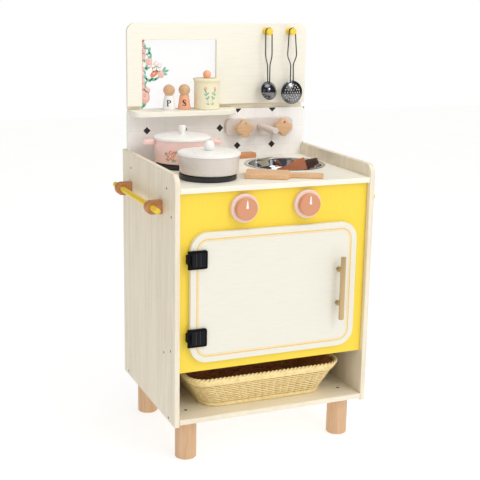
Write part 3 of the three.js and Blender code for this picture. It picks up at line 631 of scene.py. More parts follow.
def screw(builder, place, radius=3.2):
    """A countersunk head with a cross recess, its face at the place's z = 0; the recess is not cut but is a
    flat cross of dark paint, painted shade.
    """
    head = [(0, 0.25, 0), (radius * 0.86, 0.25, 0.2), (radius, 0, 0), (radius, -0.3, 0)]
    builder.turned(filleted(head), place, 20)
    arm = radius * 0.62
    half = radius * 0.16
    for turn in (0, QUARTER):
        bar = place @ Matrix.Rotation(turn, 4, "Z")
        outline = rounded_rectangle(-arm, arm, -half, half, half * 0.9, 2)
        builder.slab(outline, 0.2, 0.34, 0.04, bar, kind=1, steps=1)


SIDE_SCREWS = (  # (back from the panel's front edge, height)
    (317, 628), (55, 627), (24.6, 570), (74, 249), (27.5, 267), (349, 106), (42, 104),
)


def panel_screws():
    for side, name in ((-1, "left"), (1, "right")):
        low, high = box(f"{name}_side_panel")
        face = low.x if side < 0 else high.x
        outwards = Matrix.Rotation(side * QUARTER, 4, "Y")
        heads = Builder()
        for back, height in SIDE_SCREWS:
            screw(heads, standing(face, low.y + back, height) @ outwards)
        heads.make(f"{name}_panel_screws", [SCREW_STEEL, RECESS_PAINTED_SHADE], "cabinet")
    shelf_top = box("bottom_shelf")[1].z
    heads = Builder()
    for where in CORNERS:
        centre = measure(f"{where}_foot")[1]
        screw(heads, standing(centre.x, centre.y, shelf_top), 4)
    heads.make("foot_screws", [SCREW_STEEL, RECESS_PAINTED_SHADE], "cabinet")


PEG_STEM = 6.6
PEG_HEAD = 8.3


def pegs():
    for side in ("left", "right"):
        node = f"{side}_peg"
        size = measure(node)[2]
        length = size.y
        flange = size.x / 2
        profile = filleted([
            (0, 0, 0), (flange, 0, 0.4), (flange, 2.6, 1.4), (PEG_STEM, 3, 0.6),
            (PEG_STEM, length - 6.4, 0.6), (PEG_HEAD, length - 5.4, 1.2), (PEG_HEAD, length, 2.4),
            (0, length, 0),
        ])
        turned_node(node, "turned", profile, 48, YELLOW_ROD)


def side_rails():
    for side in ("left", "right"):
        node = f"{side}_rail_bar"
        size = measure(node)[2]
        turned_node(node, "turned", rod(size.z / 2, size.y, 2), 40, YELLOW_ROD)
        for end in ("front", "rear"):
            softened(f"{side}_rail_{end}_bracket", 1.2, TAN)


# ------------------------------------------------------------------ oven door and knobs

DOOR_CORNER = 40
HANDLE_POST = 40  # each post, above and below the handle's middle
# (left, right, proud) of the ridges and (left, right) of the grooves on a hinge's door leaf
COVER_RIDGES = ((9, 17.5, 0.9), (20.5, 27.5, 0.6), (30.5, 39.5, 1.1))
COVER_GROOVES = ((18, 20), (28, 30))


def band(builder, node, inset, width, kind):
    """A painted line that follows a rounded rectangle on a node's front face."""
    low, high = box(node)

    def ring(distance, y):
        outline = rounded_rectangle(
            low.x + distance, high.x - distance, low.z + distance, high.z - distance,
            DOOR_CORNER - distance, 12,
        )
        return [(x, y, z) for x, z in outline]

    outer, inner = inset, inset + width
    builder.rings([
        ring(outer, low.y + PROUD), ring(outer, low.y - PROUD),
        ring(inner, low.y - PROUD), ring(inner, low.y + PROUD),
    ], kind=kind)


def oven_door():
    softened("oven_door", 1.4, CREAM_DOOR, "oven_door")
    lines = Builder()
    band(lines, "oven_door", 13.4, 2.6, 0)
    band(lines, "oven_door", 18, 1.3, 1)
    lines.make("door_pinstripes", [GOLD_INK, PALE_GOLD_INK], "oven_door")


def door_handle():
    low, centre, size = measure("door_handle")
    radius = size.x / 2
    reach = size.y - radius
    handle = Builder()
    handle.turned(rod(radius, size.z, 1.6), standing(centre.x, low.y + radius, low.z), 40)
    flange = [(0, 0, 0), (6.2, 0, 0.6), (6.2, 1.8, 0.8), (4.5, 3, 1)]
    post = filleted([*flange, (4.5, reach, 0), (0, reach, 0)])
    for end in (-1, 1):
        handle.turned(post, pointing_front(centre.x, low.y + size.y, centre.z + end * HANDLE_POST), 32)
    handle.make("door_handle_bar", [GOLD], "oven_door", ["door_handle"])


def hinges():
    for level in ("upper", "lower"):
        node = f"{level}_hinge_door_leaf"
        softened(node, 0.9, BLACK_PLASTIC, "oven_door")
        softened(f"{level}_hinge_frame_leaf", 0.6, BLACK_PLASTIC)
        coat_cad_node(f"{level}_hinge_pin", SCREW_STEEL)
        low, centre, size = measure(node)
        face = pointing_front(0, low.y, 0)
        bottom, top = centre.z - 0.38 * size.z, centre.z + 0.38 * size.z
        cover = Builder()
        for left, right, proud in COVER_RIDGES:
            outline = rounded_rectangle(low.x + left, low.x + right, bottom, top, 1.5, 4)
            cover.slab(outline, -0.3, proud, 0.5, face)
        for left, right in COVER_GROOVES:
            outline = rounded_rectangle(low.x + left, low.x + right, bottom, top, 0.9, 4)
            # each groove's floor is a thin slab of the dark recess fill, painted shade
            cover.slab(outline, -0.3, 0.12, 0.1, face, kind=1)
        cover.make(f"{level}_hinge_cover", [GREY_PLASTIC, RECESS_PAINTED_SHADE], "oven_door")
    coat_cad_node("door_catch", WHITE_PLASTIC)


def knobs():
    for side in ("left", "right"):
        node = f"{side}_knob_ring"
        size = measure(node)[2]
        profile = rod(size.x / 2, size.y, 0.6, 2.6)
        turned_node(node, "turned", profile, 96, PINK_PAINT)

        node = f"{side}_knob_dial"
        low, centre, size = measure(node)
        radius = size.x / 2
        profile = rod(radius, size.y, 0.4, 2.8)
        turned_node(node, "turned", profile, 96, ORANGE_PAINT, f"{side}_knob")
        tip = radius * 0.78
        tail = radius * 0.06
        pointer = Builder()
        outline = [(-3, tail), (3, tail), (1, tip), (-1, tip)]
        pointer.slab(outline, -PROUD, PROUD, 0.05, pointing_front(centre.x, low.y, centre.z), steps=1)
        pointer.make(f"{side}_knob_pointer", [WHITE_INK], f"{side}_knob")


# ------------------------------------------------------------------ tap, hob and sink

TAP_RADIUS = 22.4
TAP_LOBE = 2.5
TAP_TURN = math.radians(5)  # how far the lobes of the tap handles are turned
TAP_WHEEL = 15  # thickness of a handle, which a spindle holds off the tap's body
TAP_SPINDLE = 6
TAP_DOT = 2.9
TAP_DOT_UP = 13
NOZZLE_BACK = 21.2  # the nozzle's axis behind the spout's tip


def lobed_wheel(radius, lobe, lobes, turn, steps=128):
    """Counter-clockwise points of a wheel whose radius swells at each lobe."""
    points = []
    for a in turns(steps):
        r = radius - lobe + lobe * math.cos(lobes * (a - turn))
        points.append((-r * math.sin(a), r * math.cos(a)))
    return points


def tap_handle(kind, dot):
    node = f"{kind}_tap_handle"
    low, centre, size = measure(node)
    back = size.y - TAP_WHEEL
    place = back_of(node)
    wheel = Builder()
    wheel.slab(lobed_wheel(TAP_RADIUS, TAP_LOBE, 4, TAP_TURN), back, size.y, 2, place)
    wheel.turned([(0, 0), (TAP_SPINDLE, 0), (TAP_SPINDLE, back + 1), (0, back + 1)], place, 32)
    wheel.make(f"{node}_wheel", [BEECH_FLAT], f"{kind}_tap", [node])
    disc = [(0, 0), (TAP_DOT, 0), (TAP_DOT, PROUD), (0, PROUD)]
    place = pointing_front(centre.x, low.y, centre.z + TAP_DOT_UP)
    turned_piece(f"{kind}_dot", disc, place, 24, dot, f"{kind}_tap")


def tap():
    tap_handle("cold", BLUE_INK)
    tap_handle("hot", RED_INK)
    low, centre, size = measure("tap_spout")
    radius = size.x / 2
    drop = size.z - radius
    spout = Builder()
    spout.turned(rod(radius, size.y, 0.5, 1.6), pointing_front(centre.x, low.y + size.y, low.z + drop), 48)
    nozzle = [(0, 5, 0), (3.4, 5, 0), (3.4, 0, 0.5), (5.2, 0, 0.8), (5.2, drop, 0), (0, drop, 0)]
    collar = [(5, 13.2, 0), (5.9, 13.2, 0.3), (5.9, 15, 0.3), (5, 15, 0)]
    for profile in (nozzle, collar):
        spout.turned(filleted(profile), standing(centre.x, low.y + NOZZLE_BACK, low.z), 32)
    spout.make("tap_spout_turned", [BLUSH_ROD], "cabinet", ["tap_spout"])


def burners():
    for where in ("front", "back"):
        node = f"{where}_burner"
        size = measure(node)[2]
        radius, top = size.x / 2, size.z
        groove = top - 0.6
        profile = filleted([
            (0, 0, 0), (radius, 0, 0.6), (radius, top, 2), (radius * 0.84, top, 0.3),
            (radius * 0.83, groove, 0.2), (radius * 0.8, groove, 0.2), (radius * 0.79, top, 0.3),
            (0, top, 0),
        ])
        turned_node(node, "disc", profile, 96, BLACK_PAINT, place=foot_of(node))


def sink():
    low, centre, size = measure("sink_bowl")
    rim = size.x / 2
    seat = box("countertop")[1].z + 0.3
    mouth = rim - 9
    floor = low.z
    wall = 1.1
    lip = low.z + size.z - 0.1
    outside = [
        (0, floor, 0), (mouth - 24, floor, 18), (mouth - 3.4, floor + 26, 10), (mouth, seat - 4, 2),
        (mouth, seat, 0), (rim - 0.6, seat, 0.3), (rim, seat + 0.8, 0.6), (rim - 1.6, lip, 1.2),
    ]
    inside = [
        (rim - 5, lip - 0.7, 2), (mouth - wall, lip - 1.1, 2), (mouth - wall - 0.5, seat - 4, 2),
        (mouth - 3.4 - wall, floor + 26, 9), (mouth - 24 - wall, floor + wall, 17), (9, floor + wall, 1),
        (7, floor + wall + 0.4, 0.4), (0, floor + wall + 0.4, 0),
    ]
    place = standing(centre.x, centre.y, 0)
    profile = filleted(outside + inside, 8)
    turned_node("sink_bowl", "pressed", profile, 144, MIRROR_STEEL, place=place)


# ------------------------------------------------------------------ prints


def rotated(points, turn):
    c, s = math.cos(turn), math.sin(turn)
    return [(x * c - z * s, x * s + z * c) for x, z in points]


def petal(rx, rz, turn=0.0, steps=20):
    """An ellipse as points about its own centre."""
    return rotated([(rx * math.cos(a), rz * math.sin(a)) for a in turns(steps)], turn)


def leaf(length, width, turn, steps=10):
    """A pointed leaf as points about its own centre, turned by an angle in degrees."""
    side = [
        (length * (k / steps - 0.5), width / 2 * math.sin(math.pi * k / steps) ** 0.8)
        for k in range(steps + 1)
    ]
    return rotated(side + [(x, -z) for x, z in side[-2:0:-1]], math.radians(turn))


def patch(builder, outline, at, lift, wrap, kind):
    """A flat printed shape: a fan about its centre, laid on a surface by wrap(across, up, lift)."""
    centre = wrap(at[0], at[1], lift)
    rim = [wrap(at[0] + x, at[1] + z, lift) for x, z in outline]
    foot = [wrap(at[0] + x, at[1] + z, 0) for x, z in outline]
    count = len(outline)
    faces = []
    for i in range(count):
        here, after = 1 + i, 1 + (i + 1) % count
        faces.append((0, here, after))
        faces.append((here, here + count, after + count, after))
    builder.add([centre, *rim, *foot], faces, kind)


ROSE, PALE, CORAL, WHITE, LEAF = range(5)
FLORAL_INKS = [ROSE_INK, PALE_ROSE_INK, CORAL_INK, WHITE_INK, LEAF_INK]
CLEARANCE = 0.02  # between a print and the surface under it


def rose(builder, at, rx, rz, wrap, kinds=(ROSE, PALE, ROSE), turn=0.3):
    """Three petals within each other, each a little off centre."""
    layers = ((1.0, 0, 0), (0.68, 0.12, 0.14), (0.34, -0.05, 0.1))
    for i, ((size, dx, dz), kind) in enumerate(zip(layers, kinds)):
        spot = (at[0] + dx * rx, at[1] + dz * rz)
        patch(builder, petal(rx * size, rz * size, turn), spot, (i + 1) * 0.07, wrap, kind)


# (across from the window's left edge, down from its top, half width, half height)
VINE_ROSES = (
    (7, 12, 7, 7), (9, 29, 8, 8), (8, 41, 8, 8), (23.8, 53, 9, 9), (4, 58, 5, 6), (6, 70, 7, 7),
    (54, 84, 8, 9), (5, 86, 6, 8), (7, 98, 6.5, 9), (6, 111, 7, 8), (18, 122, 9, 8), (13, 135, 12.5, 18),
)
# (across, down, length, turn in degrees)
VINE_LEAVES = (
    (13, 19, 15, 60), (18, 22, 12, 10), (25, 26, 16, 75), (21, 35, 14, 25), (28, 36, 15, 110),
    (26, 43, 13, -25), (7, 50, 15, 12), (13, 52, 10, 60), (18, 64, 14, 70), (22, 68, 13, 20),
    (13, 78, 14, 110), (16, 70, 13, -40), (62, 72, 16, 55), (68, 76, 15, 20), (64, 83, 15, -14),
    (15, 90, 16, -55), (22, 97, 17, -30), (30, 94, 15, 45), (36, 96, 18, 5), (44, 93, 14, 25),
    (16, 103, 13, 60), (15, 112, 12, 100), (4, 121, 14, 110), (7, 157, 20, 84), (13, 156, 15, 62),
)
WINDOW_LEFT = -197  # edges of the window's opening
WINDOW_TOP = 924.5


def vine_print():
    face = box("window_pane")[0].y

    def wrap(x, z, lift):
        return Vector((WINDOW_LEFT + x, face - lift - CLEARANCE, WINDOW_TOP + z))

    vine = Builder()
    for x, down, length, turn in VINE_LEAVES:
        patch(vine, leaf(length, length * 0.42, turn), (x, -down), 0.05, wrap, LEAF)
    for petals in range(5):
        a = math.radians(72 * petals + 20)
        at = (42 + 7 * math.cos(a), 6 * math.sin(a) - 66)
        rose(vine, at, 8, 6, wrap, (PALE, WHITE, WHITE), a)
    for x, down, rx, rz in VINE_ROSES:
        rose(vine, (x, -down), rx, rz, wrap)
    rose(vine, (37, -82), 11.5, 6.5, wrap, (CORAL, CORAL, ROSE), math.radians(35))
    rose(vine, (7, -3), 6.5, 3.4, wrap, (CORAL, CORAL, ROSE), 0)
    vine.make("window_vine_print", FLORAL_INKS, "cabinet")


def round_wrap(centre, radius_at, towards):
    """Lays prints on a turned piece: across runs along its surface from a direction in degrees."""

    def wrap(across, z, lift):
        radius = radius_at(z) + lift + 1.5 * CLEARANCE
        angle = math.radians(towards) + across / radius
        return Vector((centre.x + radius * math.cos(angle), centre.y + radius * math.sin(angle), z))

    return wrap


# ------------------------------------------------------------------ pots

LID_SPIGOT = 2.4  # how far a pot's lid reaches into the pot
LID_PLAY = 1
LID_RIM = 5  # height of the lid's upright rim
POT_WALL = 4
POT_TOP = 65.5  # the pink pot's radius at its top
POT_EAR = 92  # reach of its ears
POT_TURN = math.radians(-16)  # of its ears from the x axis
BLOSSOM_UP = 21
BLOSSOM_LEAVES = ((-13, 5, 10, 70), (-9, -9, 11, -30), (9, -11, 12, 20), (14, 9, 10, 60))


def pan_profile(bottom, top, height, wall):
    return filleted([
        (0, 0, 0), (bottom, 0, 6), (top, height, 0.9), (top - wall, height, 0.9), (bottom - wall, wall, 5),
        (0, wall, 0),
    ], 8)


def lid_profile(rim, spigot, rim_height, dome, knob):
    """Underside, spigot, rim and a shallow dome, then the knob's points."""
    crown = [
        (rim * math.cos(a), rim_height + dome * math.sin(a))
        for a in (math.radians(12 + 7.2 * k) for k in range(11))
        if rim * math.cos(a) > knob[0][0] + 1
    ]
    edge = filleted([
        (0, -LID_SPIGOT, 0), (spigot, -LID_SPIGOT, 0.5), (spigot, 0, 0.2), (rim, 0, 1),
        (rim, rim_height, 2), (*crown[0], 0),
    ])
    return edge + crown[1:] + knob


def pot_lid(pot, top, dome, knob):
    """A domed lid on a pot whose mouth has the radius top."""
    node = f"{pot}_lid"
    low, _, size = measure(node)
    centre = measure(pot)[1]
    profile = lid_profile(size.x / 2, top - POT_WALL - LID_PLAY, LID_RIM, dome, knob)
    place = standing(centre.x, centre.y, low.z + LID_SPIGOT)
    turned_node(node, "domed", profile, 120, WHITE_ENAMEL, node, place)


def pink_pot():
    low, centre, size = measure("pink_pot")
    height = size.z
    foot = foot_of("pink_pot")
    pot = Builder()
    pot.turned(pan_profile(POT_TOP - 0.6, POT_TOP, height, POT_WALL), foot, 120)
    for side in (0, math.pi):
        outline = rounded_rectangle(POT_TOP - 3, POT_EAR, -18, 18, 9)
        place = foot @ Matrix.Rotation(POT_TURN + side, 4, "Z")
        pot.slab(outline, height - 12, height - 1, 3.6, place, steps=6)
    pot.make("pink_pot_body", [PINK_ENAMEL], "pink_pot", ["pink_pot"])
    base = 11.6
    knob = [
        (6.4, base, 0), (6.6, base + 5, 3), (8.2, base + 9, 3), (8.2, base + 20, 3), (0, base + 20.4, 0),
    ]
    pot_lid("pink_pot", POT_TOP, 7, filleted(knob, 6))

    wrap = round_wrap(centre, lambda z: POT_TOP, -134)
    blossom = Builder()
    z = low.z + BLOSSOM_UP
    for x, up, length, turn in BLOSSOM_LEAVES:
        patch(blossom, leaf(length, 4.5, turn), (x, z + up), 0.05, wrap, LEAF)
    for step in range(5):
        a = math.radians(72 * step + 90)
        at = (6.5 * math.cos(a), z + 6.5 * math.sin(a))
        rose(blossom, at, 6, 4.4, wrap, (CORAL, ROSE, PALE), a)
    rose(blossom, (9, z + 7), 5, 4, wrap, (CORAL, CORAL, ROSE), 0.8)
    patch(blossom, petal(2, 2), (0, z), 0.3, wrap, WHITE)
    blossom.make("pink_pot_blossom_print", FLORAL_INKS, "pink_pot")


def saucepan():
    node = "saucepan"
    size = measure(node)[2]
    top = size.x / 2
    profile = pan_profile(top - 2.8, top, size.z, POT_WALL)
    turned_node(node, "body", profile, 120, GREY_ENAMEL, node, foot_of(node))
    softened("saucepan_handle", 1.6, TAN, "saucepan")
    ball = 12.3
    knob = arc(0, measure("saucepan_lid")[2].z - LID_SPIGOT - ball, ball, -52, 90)
    pot_lid("saucepan", top, 3.4, knob)


# ------------------------------------------------------------------ shakers and jar on the sill


def smooth_stroke(points, steps=6):
    """A Catmull-Rom curve through (across, up, half width) points."""
    points = [Vector(p) for p in points]
    padded = [2 * points[0] - points[1], *points, 2 * points[-1] - points[-2]]
    curve = []
    for before, start, end, after in zip(padded, padded[1:], padded[2:], padded[3:]):
        for k in range(steps):
            t = k / steps
            curve.append(0.5 * (
                2 * start + (end - before) * t + (2 * before - 5 * start + 4 * end - after) * t * t
                + (3 * start - before - 3 * end + after) * t ** 3
            ))
    return [*curve, points[-1]]


LETTERS = {  # strokes of (across, up, half width) points
    "P": (
        ((-3.2, -6.9, 1.6), (-3.2, 6.9, 1.6)),
        ((-6, -6.8, 0.6), (-0.4, -6.8, 0.6)),
        ((-6, 6.8, 0.6), (-2, 6.8, 0.6)),
        ((-2, 6.8, 0.6), (1.6, 6.4, 0.9), (3.6, 3.6, 1.7), (1.6, 0.9, 0.9), (-2, 0.4, 0.6)),
    ),
    "S": (
        ((3.9, 3.6, 0.5), (3.1, 5.9, 0.6), (0.2, 6.8, 0.7), (-2.9, 5.2, 1.2), (-2.8, 2.4, 1.6),
         (0, 0.2, 1.8), (2.9, -2.3, 1.6), (3, -5.2, 1.2), (0, -6.8, 0.7), (-3, -5.9, 0.6),
         (-4, -3.4, 0.5)),
        ((3.9, 6.6, 0.45), (3.9, 3.2, 0.45)),
        ((-4, -6.6, 0.45), (-4, -3.2, 0.45)),
    ),
}


def letter(name, text, wrap, z, body):
    """A generic printed serif letter, laid on a turned piece stroke by stroke."""
    printed = Builder()
    for points in LETTERS[text]:
        curve = smooth_stroke(points) if len(points) > 2 else [Vector(p) for p in points]
        rails = []
        for i, here in enumerate(curve):
            ahead = curve[min(i + 1, len(curve) - 1)] - curve[max(i - 1, 0)]
            out = Vector((-ahead.y, ahead.x)).normalized() * here.z
            rails.append([
                wrap(here.x + side * out.x, z + here.y + side * out.y, lift)
                for side, lift in ((1, 0), (1, PROUD), (-1, PROUD), (-1, 0))
            ])
        printed.rings(rails, caps=True)
    printed.make(name, [NAVY_INK], body)


SHAKER_BODY = 33.5
SHAKER_SHOULDER = 11.2
SHAKER_HEAD = 14
SHAKER_FACING = -108  # in degrees: to the front and a little to the left
LETTER_UP = 16


def shakers():
    for kind, text, finish in (("pepper", "P", WHITE_SHAKER), ("salt", "S", ORANGE_SHAKER)):
        node = f"{kind}_shaker"
        low, centre, size = measure(node)
        base = size.x / 2
        place = foot_of(node)
        cone = filleted([
            (0, 0, 0), (base, 0, 1.2), (SHAKER_SHOULDER, SHAKER_BODY - 1, 0.6),
            (SHAKER_SHOULDER - 1.6, SHAKER_BODY, 0.3), (0, SHAKER_BODY, 0),
        ])
        turned_node(node, "body", cone, 64, finish, node, place)
        neck = [(0, SHAKER_BODY + 0.02), (9.4, SHAKER_BODY + 0.02), (9.6, SHAKER_BODY + 1.4)]
        ball = arc(0, size.z - SHAKER_HEAD, SHAKER_HEAD, -46, 90, 20)
        turned_piece(f"{node}_head", neck + ball, place, 64, BEECH, node)

        def radius_at(z, low=low, base=base):
            return base + (SHAKER_SHOULDER - base) * (z - low.z) / SHAKER_BODY

        wrap = round_wrap(centre, radius_at, SHAKER_FACING)
        letter(f"{kind}_letter", text, wrap, low.z + LETTER_UP, node)


JAR_WALL = 4
JAR_SPIGOT = 3
JAR_KNOB = 10
# (across, up, turn in degrees) of the leaves on each side of the jar's print
SPRIG_LEAVES = ((11, 43, 60), (6.5, 39, 140), (12, 36, 30), (4.5, 30, 110), (9, 27, 40), (6, 14, 10))


def jar():
    low, centre, size = measure("jar")
    radius, height = size.x / 2, size.z
    tub = filleted([
        (0, 0, 0), (radius, 0, 1.6), (radius, height, 0.8), (radius - JAR_WALL, height, 0.8),
        (radius - JAR_WALL, JAR_WALL, 2), (0, JAR_WALL, 0),
    ])
    turned_node("jar", "tub", tub, 96, JAR_PAINT, "jar", foot_of("jar"))
    lid_low, _, lid_size = measure("jar_lid")
    spigot = radius - JAR_WALL - 0.6
    rim = lid_size.x / 2
    disc = filleted([
        (0, -JAR_SPIGOT, 0), (spigot, -JAR_SPIGOT, 0.4), (spigot, 0, 0.2), (rim, 0, 0.8), (rim, 6, 1.8),
        (0, 6.4, 0),
    ])
    place = standing(centre.x, centre.y, lid_low.z + JAR_SPIGOT)
    turned_node("jar_lid", "disc", disc, 96, JAR_PAINT, "jar_lid", place)
    knob = arc(0, lid_size.z - JAR_SPIGOT - JAR_KNOB, JAR_KNOB, -64, 90, 20)
    turned_piece("jar_lid_knob", knob, place, 48, ORANGE_SHAKER, "jar_lid")

    wrap = round_wrap(centre, lambda z: radius, -95)
    sprigs = Builder()
    for side in (-1, 1):
        def at(x, z, side=side):
            return (side * x, low.z + z)

        patch(sprigs, petal(3, 4.6, side * 0.3), at(12.5, 50), 0.1, wrap, CORAL)
        patch(sprigs, petal(1.6, 2.6), at(12.5, 51), 0.2, wrap, PALE)
        for x, z, turn in SPRIG_LEAVES:
            outline = leaf(8.5, 3.6, turn if side > 0 else 180 - turn)
            patch(sprigs, outline, at(x, z), 0.07, wrap, LEAF)
        stem = [wrap(*at(12 - 8 * math.sin(k / 8), 46 - 3.4 * k), 0.1) for k in range(10)]
        sprigs.tube(stem, 0.35, 5, kind=LEAF)
    sprigs.make("jar_sprig_print", FLORAL_INKS, "jar")


# ------------------------------------------------------------------ hanging utensils

WIRE = 1.5
WIRE_SEAT = 8.4  # radius of the wire's bend over the peg
WAIST_DROP = 80
SWELL_DROP = 60
WIRE_END = 125
BOARD_TO_LOOP = 17.5
LEAN = math.radians(-2.5)  # the bowl's back rests on the board, so the wires lean out at the foot
DISH_WALL = 1.3
LADLE_RADIUS = 22.4
SKIMMER_RADIUS = 28.6
SKIMMER_HEIGHT = 7
SKIMMER_HOLE = 1.8
SKIMMER_RINGS = ((0, 1), (6.8, 6), (13.4, 12), (19.8, 18))  # (radius, holes)


def hanging(peg):
    """Where a utensil hangs: its origin is on the peg's axis."""
    centre = measure(peg)[1]
    front = box("window_board")[0].y
    return standing(centre.x, front - BOARD_TO_LOOP, centre.z) @ Matrix.Rotation(LEAN, 4, "X")


def eased_path(points, reach, steps=6):
    """A polyline whose inner corners are rounded off."""
    path = [points[0]]
    for before, corner, after in zip(points, points[1:], points[2:]):
        start = corner + (before - corner).normalized() * min(reach, (before - corner).length * 0.45)
        end = corner + (after - corner).normalized() * min(reach, (after - corner).length * 0.45)
        path += bend(start, corner, end, steps)
    path.append(points[-1])
    return path


def wire_loop(builder, place, swell, foot):
    """One wire up one side, over the peg and down the other side."""

    def leg(side):
        spots = ((foot, WIRE_END), (3.4, WAIST_DROP), (swell, SWELL_DROP), (WIRE_SEAT, 2))
        return eased_path([Vector((side * x, 0, -z)) for x, z in spots], 7)

    over = [
        Vector((-WIRE_SEAT * math.cos(a), 0, WIRE_SEAT * math.sin(a)))
        for a in (math.pi * k / 16 for k in range(17))
    ]
    path = leg(-1)[:-1] + over + leg(1)[-2::-1]
    builder.tube([place @ point for point in path], WIRE, 12)


def dish_profile(radius, height, steps):
    """A spherical cap with its round side up and a rolled rim, as (radius, height) points."""
    curvature = (radius * radius + height * height) / (2 * height)
    half = math.degrees(math.asin(radius / curvature))
    centre = height - curvature
    outside = arc(0, centre, curvature, 90, 90 - half, steps)
    inside = arc(0, centre, curvature - DISH_WALL, 90 - half, 90, steps)
    return outside + [(radius + 0.7, 0.1), (radius + 0.7, -0.7), (radius - 0.2, -0.9)] + inside


def ladle():
    place = hanging("left_peg")
    spoon = Builder()
    wire_loop(spoon, place, 8.8, 2.4)
    tilt = Matrix.Rotation(math.radians(12), 4, "Z") @ Matrix.Rotation(math.radians(78), 4, "X")
    seat = standing(1, 1, -WIRE_END - LADLE_RADIUS + 3.6)
    spoon.turned(dish_profile(LADLE_RADIUS, 13, 16), place @ seat @ tilt, 72)
    spoon.make("ladle_spoon", [SPOON_STEEL], "ladle", ["ladle"])


def skimmer():
    place = hanging("right_peg")
    dish = Builder()
    dish.turned(dish_profile(SKIMMER_RADIUS, SKIMMER_HEIGHT, 12), Matrix.Identity(4), 96)
    punched = dish.make("skimmer_disc", [SPOON_STEEL], "skimmer", ["skimmer"])
    pin_top = SKIMMER_HEIGHT + 8
    pin = [(0, 0), (SKIMMER_HOLE, 0), (SKIMMER_HOLE, pin_top), (0, pin_top)]
    punches = Builder()
    for ring, count in SKIMMER_RINGS:
        for a in turns(count):
            punches.turned(pin, standing(ring * math.cos(a), ring * math.sin(a), -3), 12)
    tool = punches.make("skimmer_punches", [SPOON_STEEL], "skimmer")
    cutter = punched.modifiers.new("holes", "BOOLEAN")
    cutter.object = tool
    cutter.solver = "EXACT"
    bpy.context.view_layer.update()
    graph = bpy.context.evaluated_depsgraph_get()
    mesh = bpy.data.meshes.new_from_object(punched.evaluated_get(graph))
    bpy.data.objects.remove(tool)
    punched.modifiers.clear()
    punched.data = mesh
    seat = standing(0, 0, -WIRE_END - SKIMMER_RADIUS + 4.4)
    metres = Matrix.Scale(MM, 4)
    mesh.transform(metres @ place @ seat @ Matrix.Rotation(QUARTER, 4, "X") @ metres.inverted())
    mesh.set_sharp_from_angle(angle=math.radians(35))
    wires = Builder()
    wire_loop(wires, place, 12.5, 4)
    wires.make("skimmer_wires", [SPOON_STEEL], "skimmer")


# ------------------------------------------------------------------ spatula and brush

BRISTLE_ROWS = 5
BRISTLE_COLUMNS = 14
HAIRS = 6  # in each tuft
HAIR_RADII = [0.42, 0.36, 0.16]
BRISTLE_RISE = 8


def spatula():
    softened("wooden_spatula", 2, BEECH_FLAT, "wooden_spatula")


def brush():
    softened("brush_handle", 2.2, RED_WOOD, "brush", segments=4)
    handle = sum(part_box("brush_handle"), Vector()) / 2
    points = [v.co.copy() for v in frame["nodes"]["brush_bristles"].data.vertices]
    points.sort(key=lambda p: (p - handle).length)
    half = len(points) // 2

    def end_of(group):
        """The centre of one end of the bristle block, and the longest upward line across that end."""
        steep = [p - q for p in group for q in group if p.z - q.z > BRISTLE_RISE * MM]
        return sum(group, Vector()) / (len(group) * MM), max(steep, key=lambda v: v.length) / MM

    root, root_line = end_of(points[:half])
    tip, tip_line = end_of(points[half:])
    axis = (tip - root).normalized()
    thick = axis.cross(root_line).normalized()
    rng = random.Random(7)
    tufts = Builder()
    for row in range(BRISTLE_ROWS):
        for column in range(BRISTLE_COLUMNS):
            for _ in range(HAIRS):
                u = (column + rng.uniform(0.1, 0.9)) / BRISTLE_COLUMNS - 0.5
                v = (row + rng.uniform(0.1, 0.9)) / BRISTLE_ROWS - 0.5
                start = root + root_line * (u * 0.8 - 0.06) + thick * v * 7
                end = tip + tip_line * (u * 0.86 - 0.06) + thick * v * 9 + axis * rng.uniform(-9, 0.5)
                bow = Vector(rng.uniform(-1, 1) for _ in range(3)) * 0.9
                tufts.tube([start, start.lerp(end, 0.5) + bow, end], HAIR_RADII, 4)
    tufts.make("brush_bristle_tufts", [BRISTLE], "brush", ["brush_bristles"])


# ------------------------------------------------------------------ basket

BASKET_CORNER = 45
BASKET_FLARE = Vector((43, 23))  # how far the rim reaches past the foot, in x and y
BASKET_WALL = 3.5  # the middle of the woven wall, in from its outside
STAKE_PITCH = 21
ROW_PITCH = 5
WEAVER = 1.9
STAKE = 1.5
WEAVE_FOOT = 0.1  # shares of the basket's height between which the rows lie
WEAVE_TOP = 0.78
SHADE_LINER_GAP = 7.3
FLOOR_SHARE = 0.035
FLOOR_PITCH = 5.2


def round_outline(half, corner):
    """A closed walk along a rounded rectangle, as a function of the share walked."""
    runs = [2 * (half.y - corner), 2 * (half.x - corner)]
    quarter = QUARTER * corner
    total = 2 * sum(runs) + 4 * quarter
    centres = ((1, -1), (1, 1), (-1, 1), (-1, -1))

    def point(share):
        """(position, outward normal)"""
        d = (share % 1.0) * total
        for k, (x, y) in enumerate(centres):
            heading = QUARTER * k
            forward = Vector((math.cos(heading), math.sin(heading)))
            out = Vector((forward.y, -forward.x))
            centre = Vector((x * (half.x - corner), y * (half.y - corner)))
            run = runs[(k + 1) % 2]
            if d <= run:
                return centre + out * corner - forward * (run - d), out
            d -= run
            if d <= quarter:
                a = heading - QUARTER + d / corner
                out = Vector((math.cos(a), math.sin(a)))
                return centre + out * corner, out
            d -= quarter
        return centre + out * corner, out

    return point, total


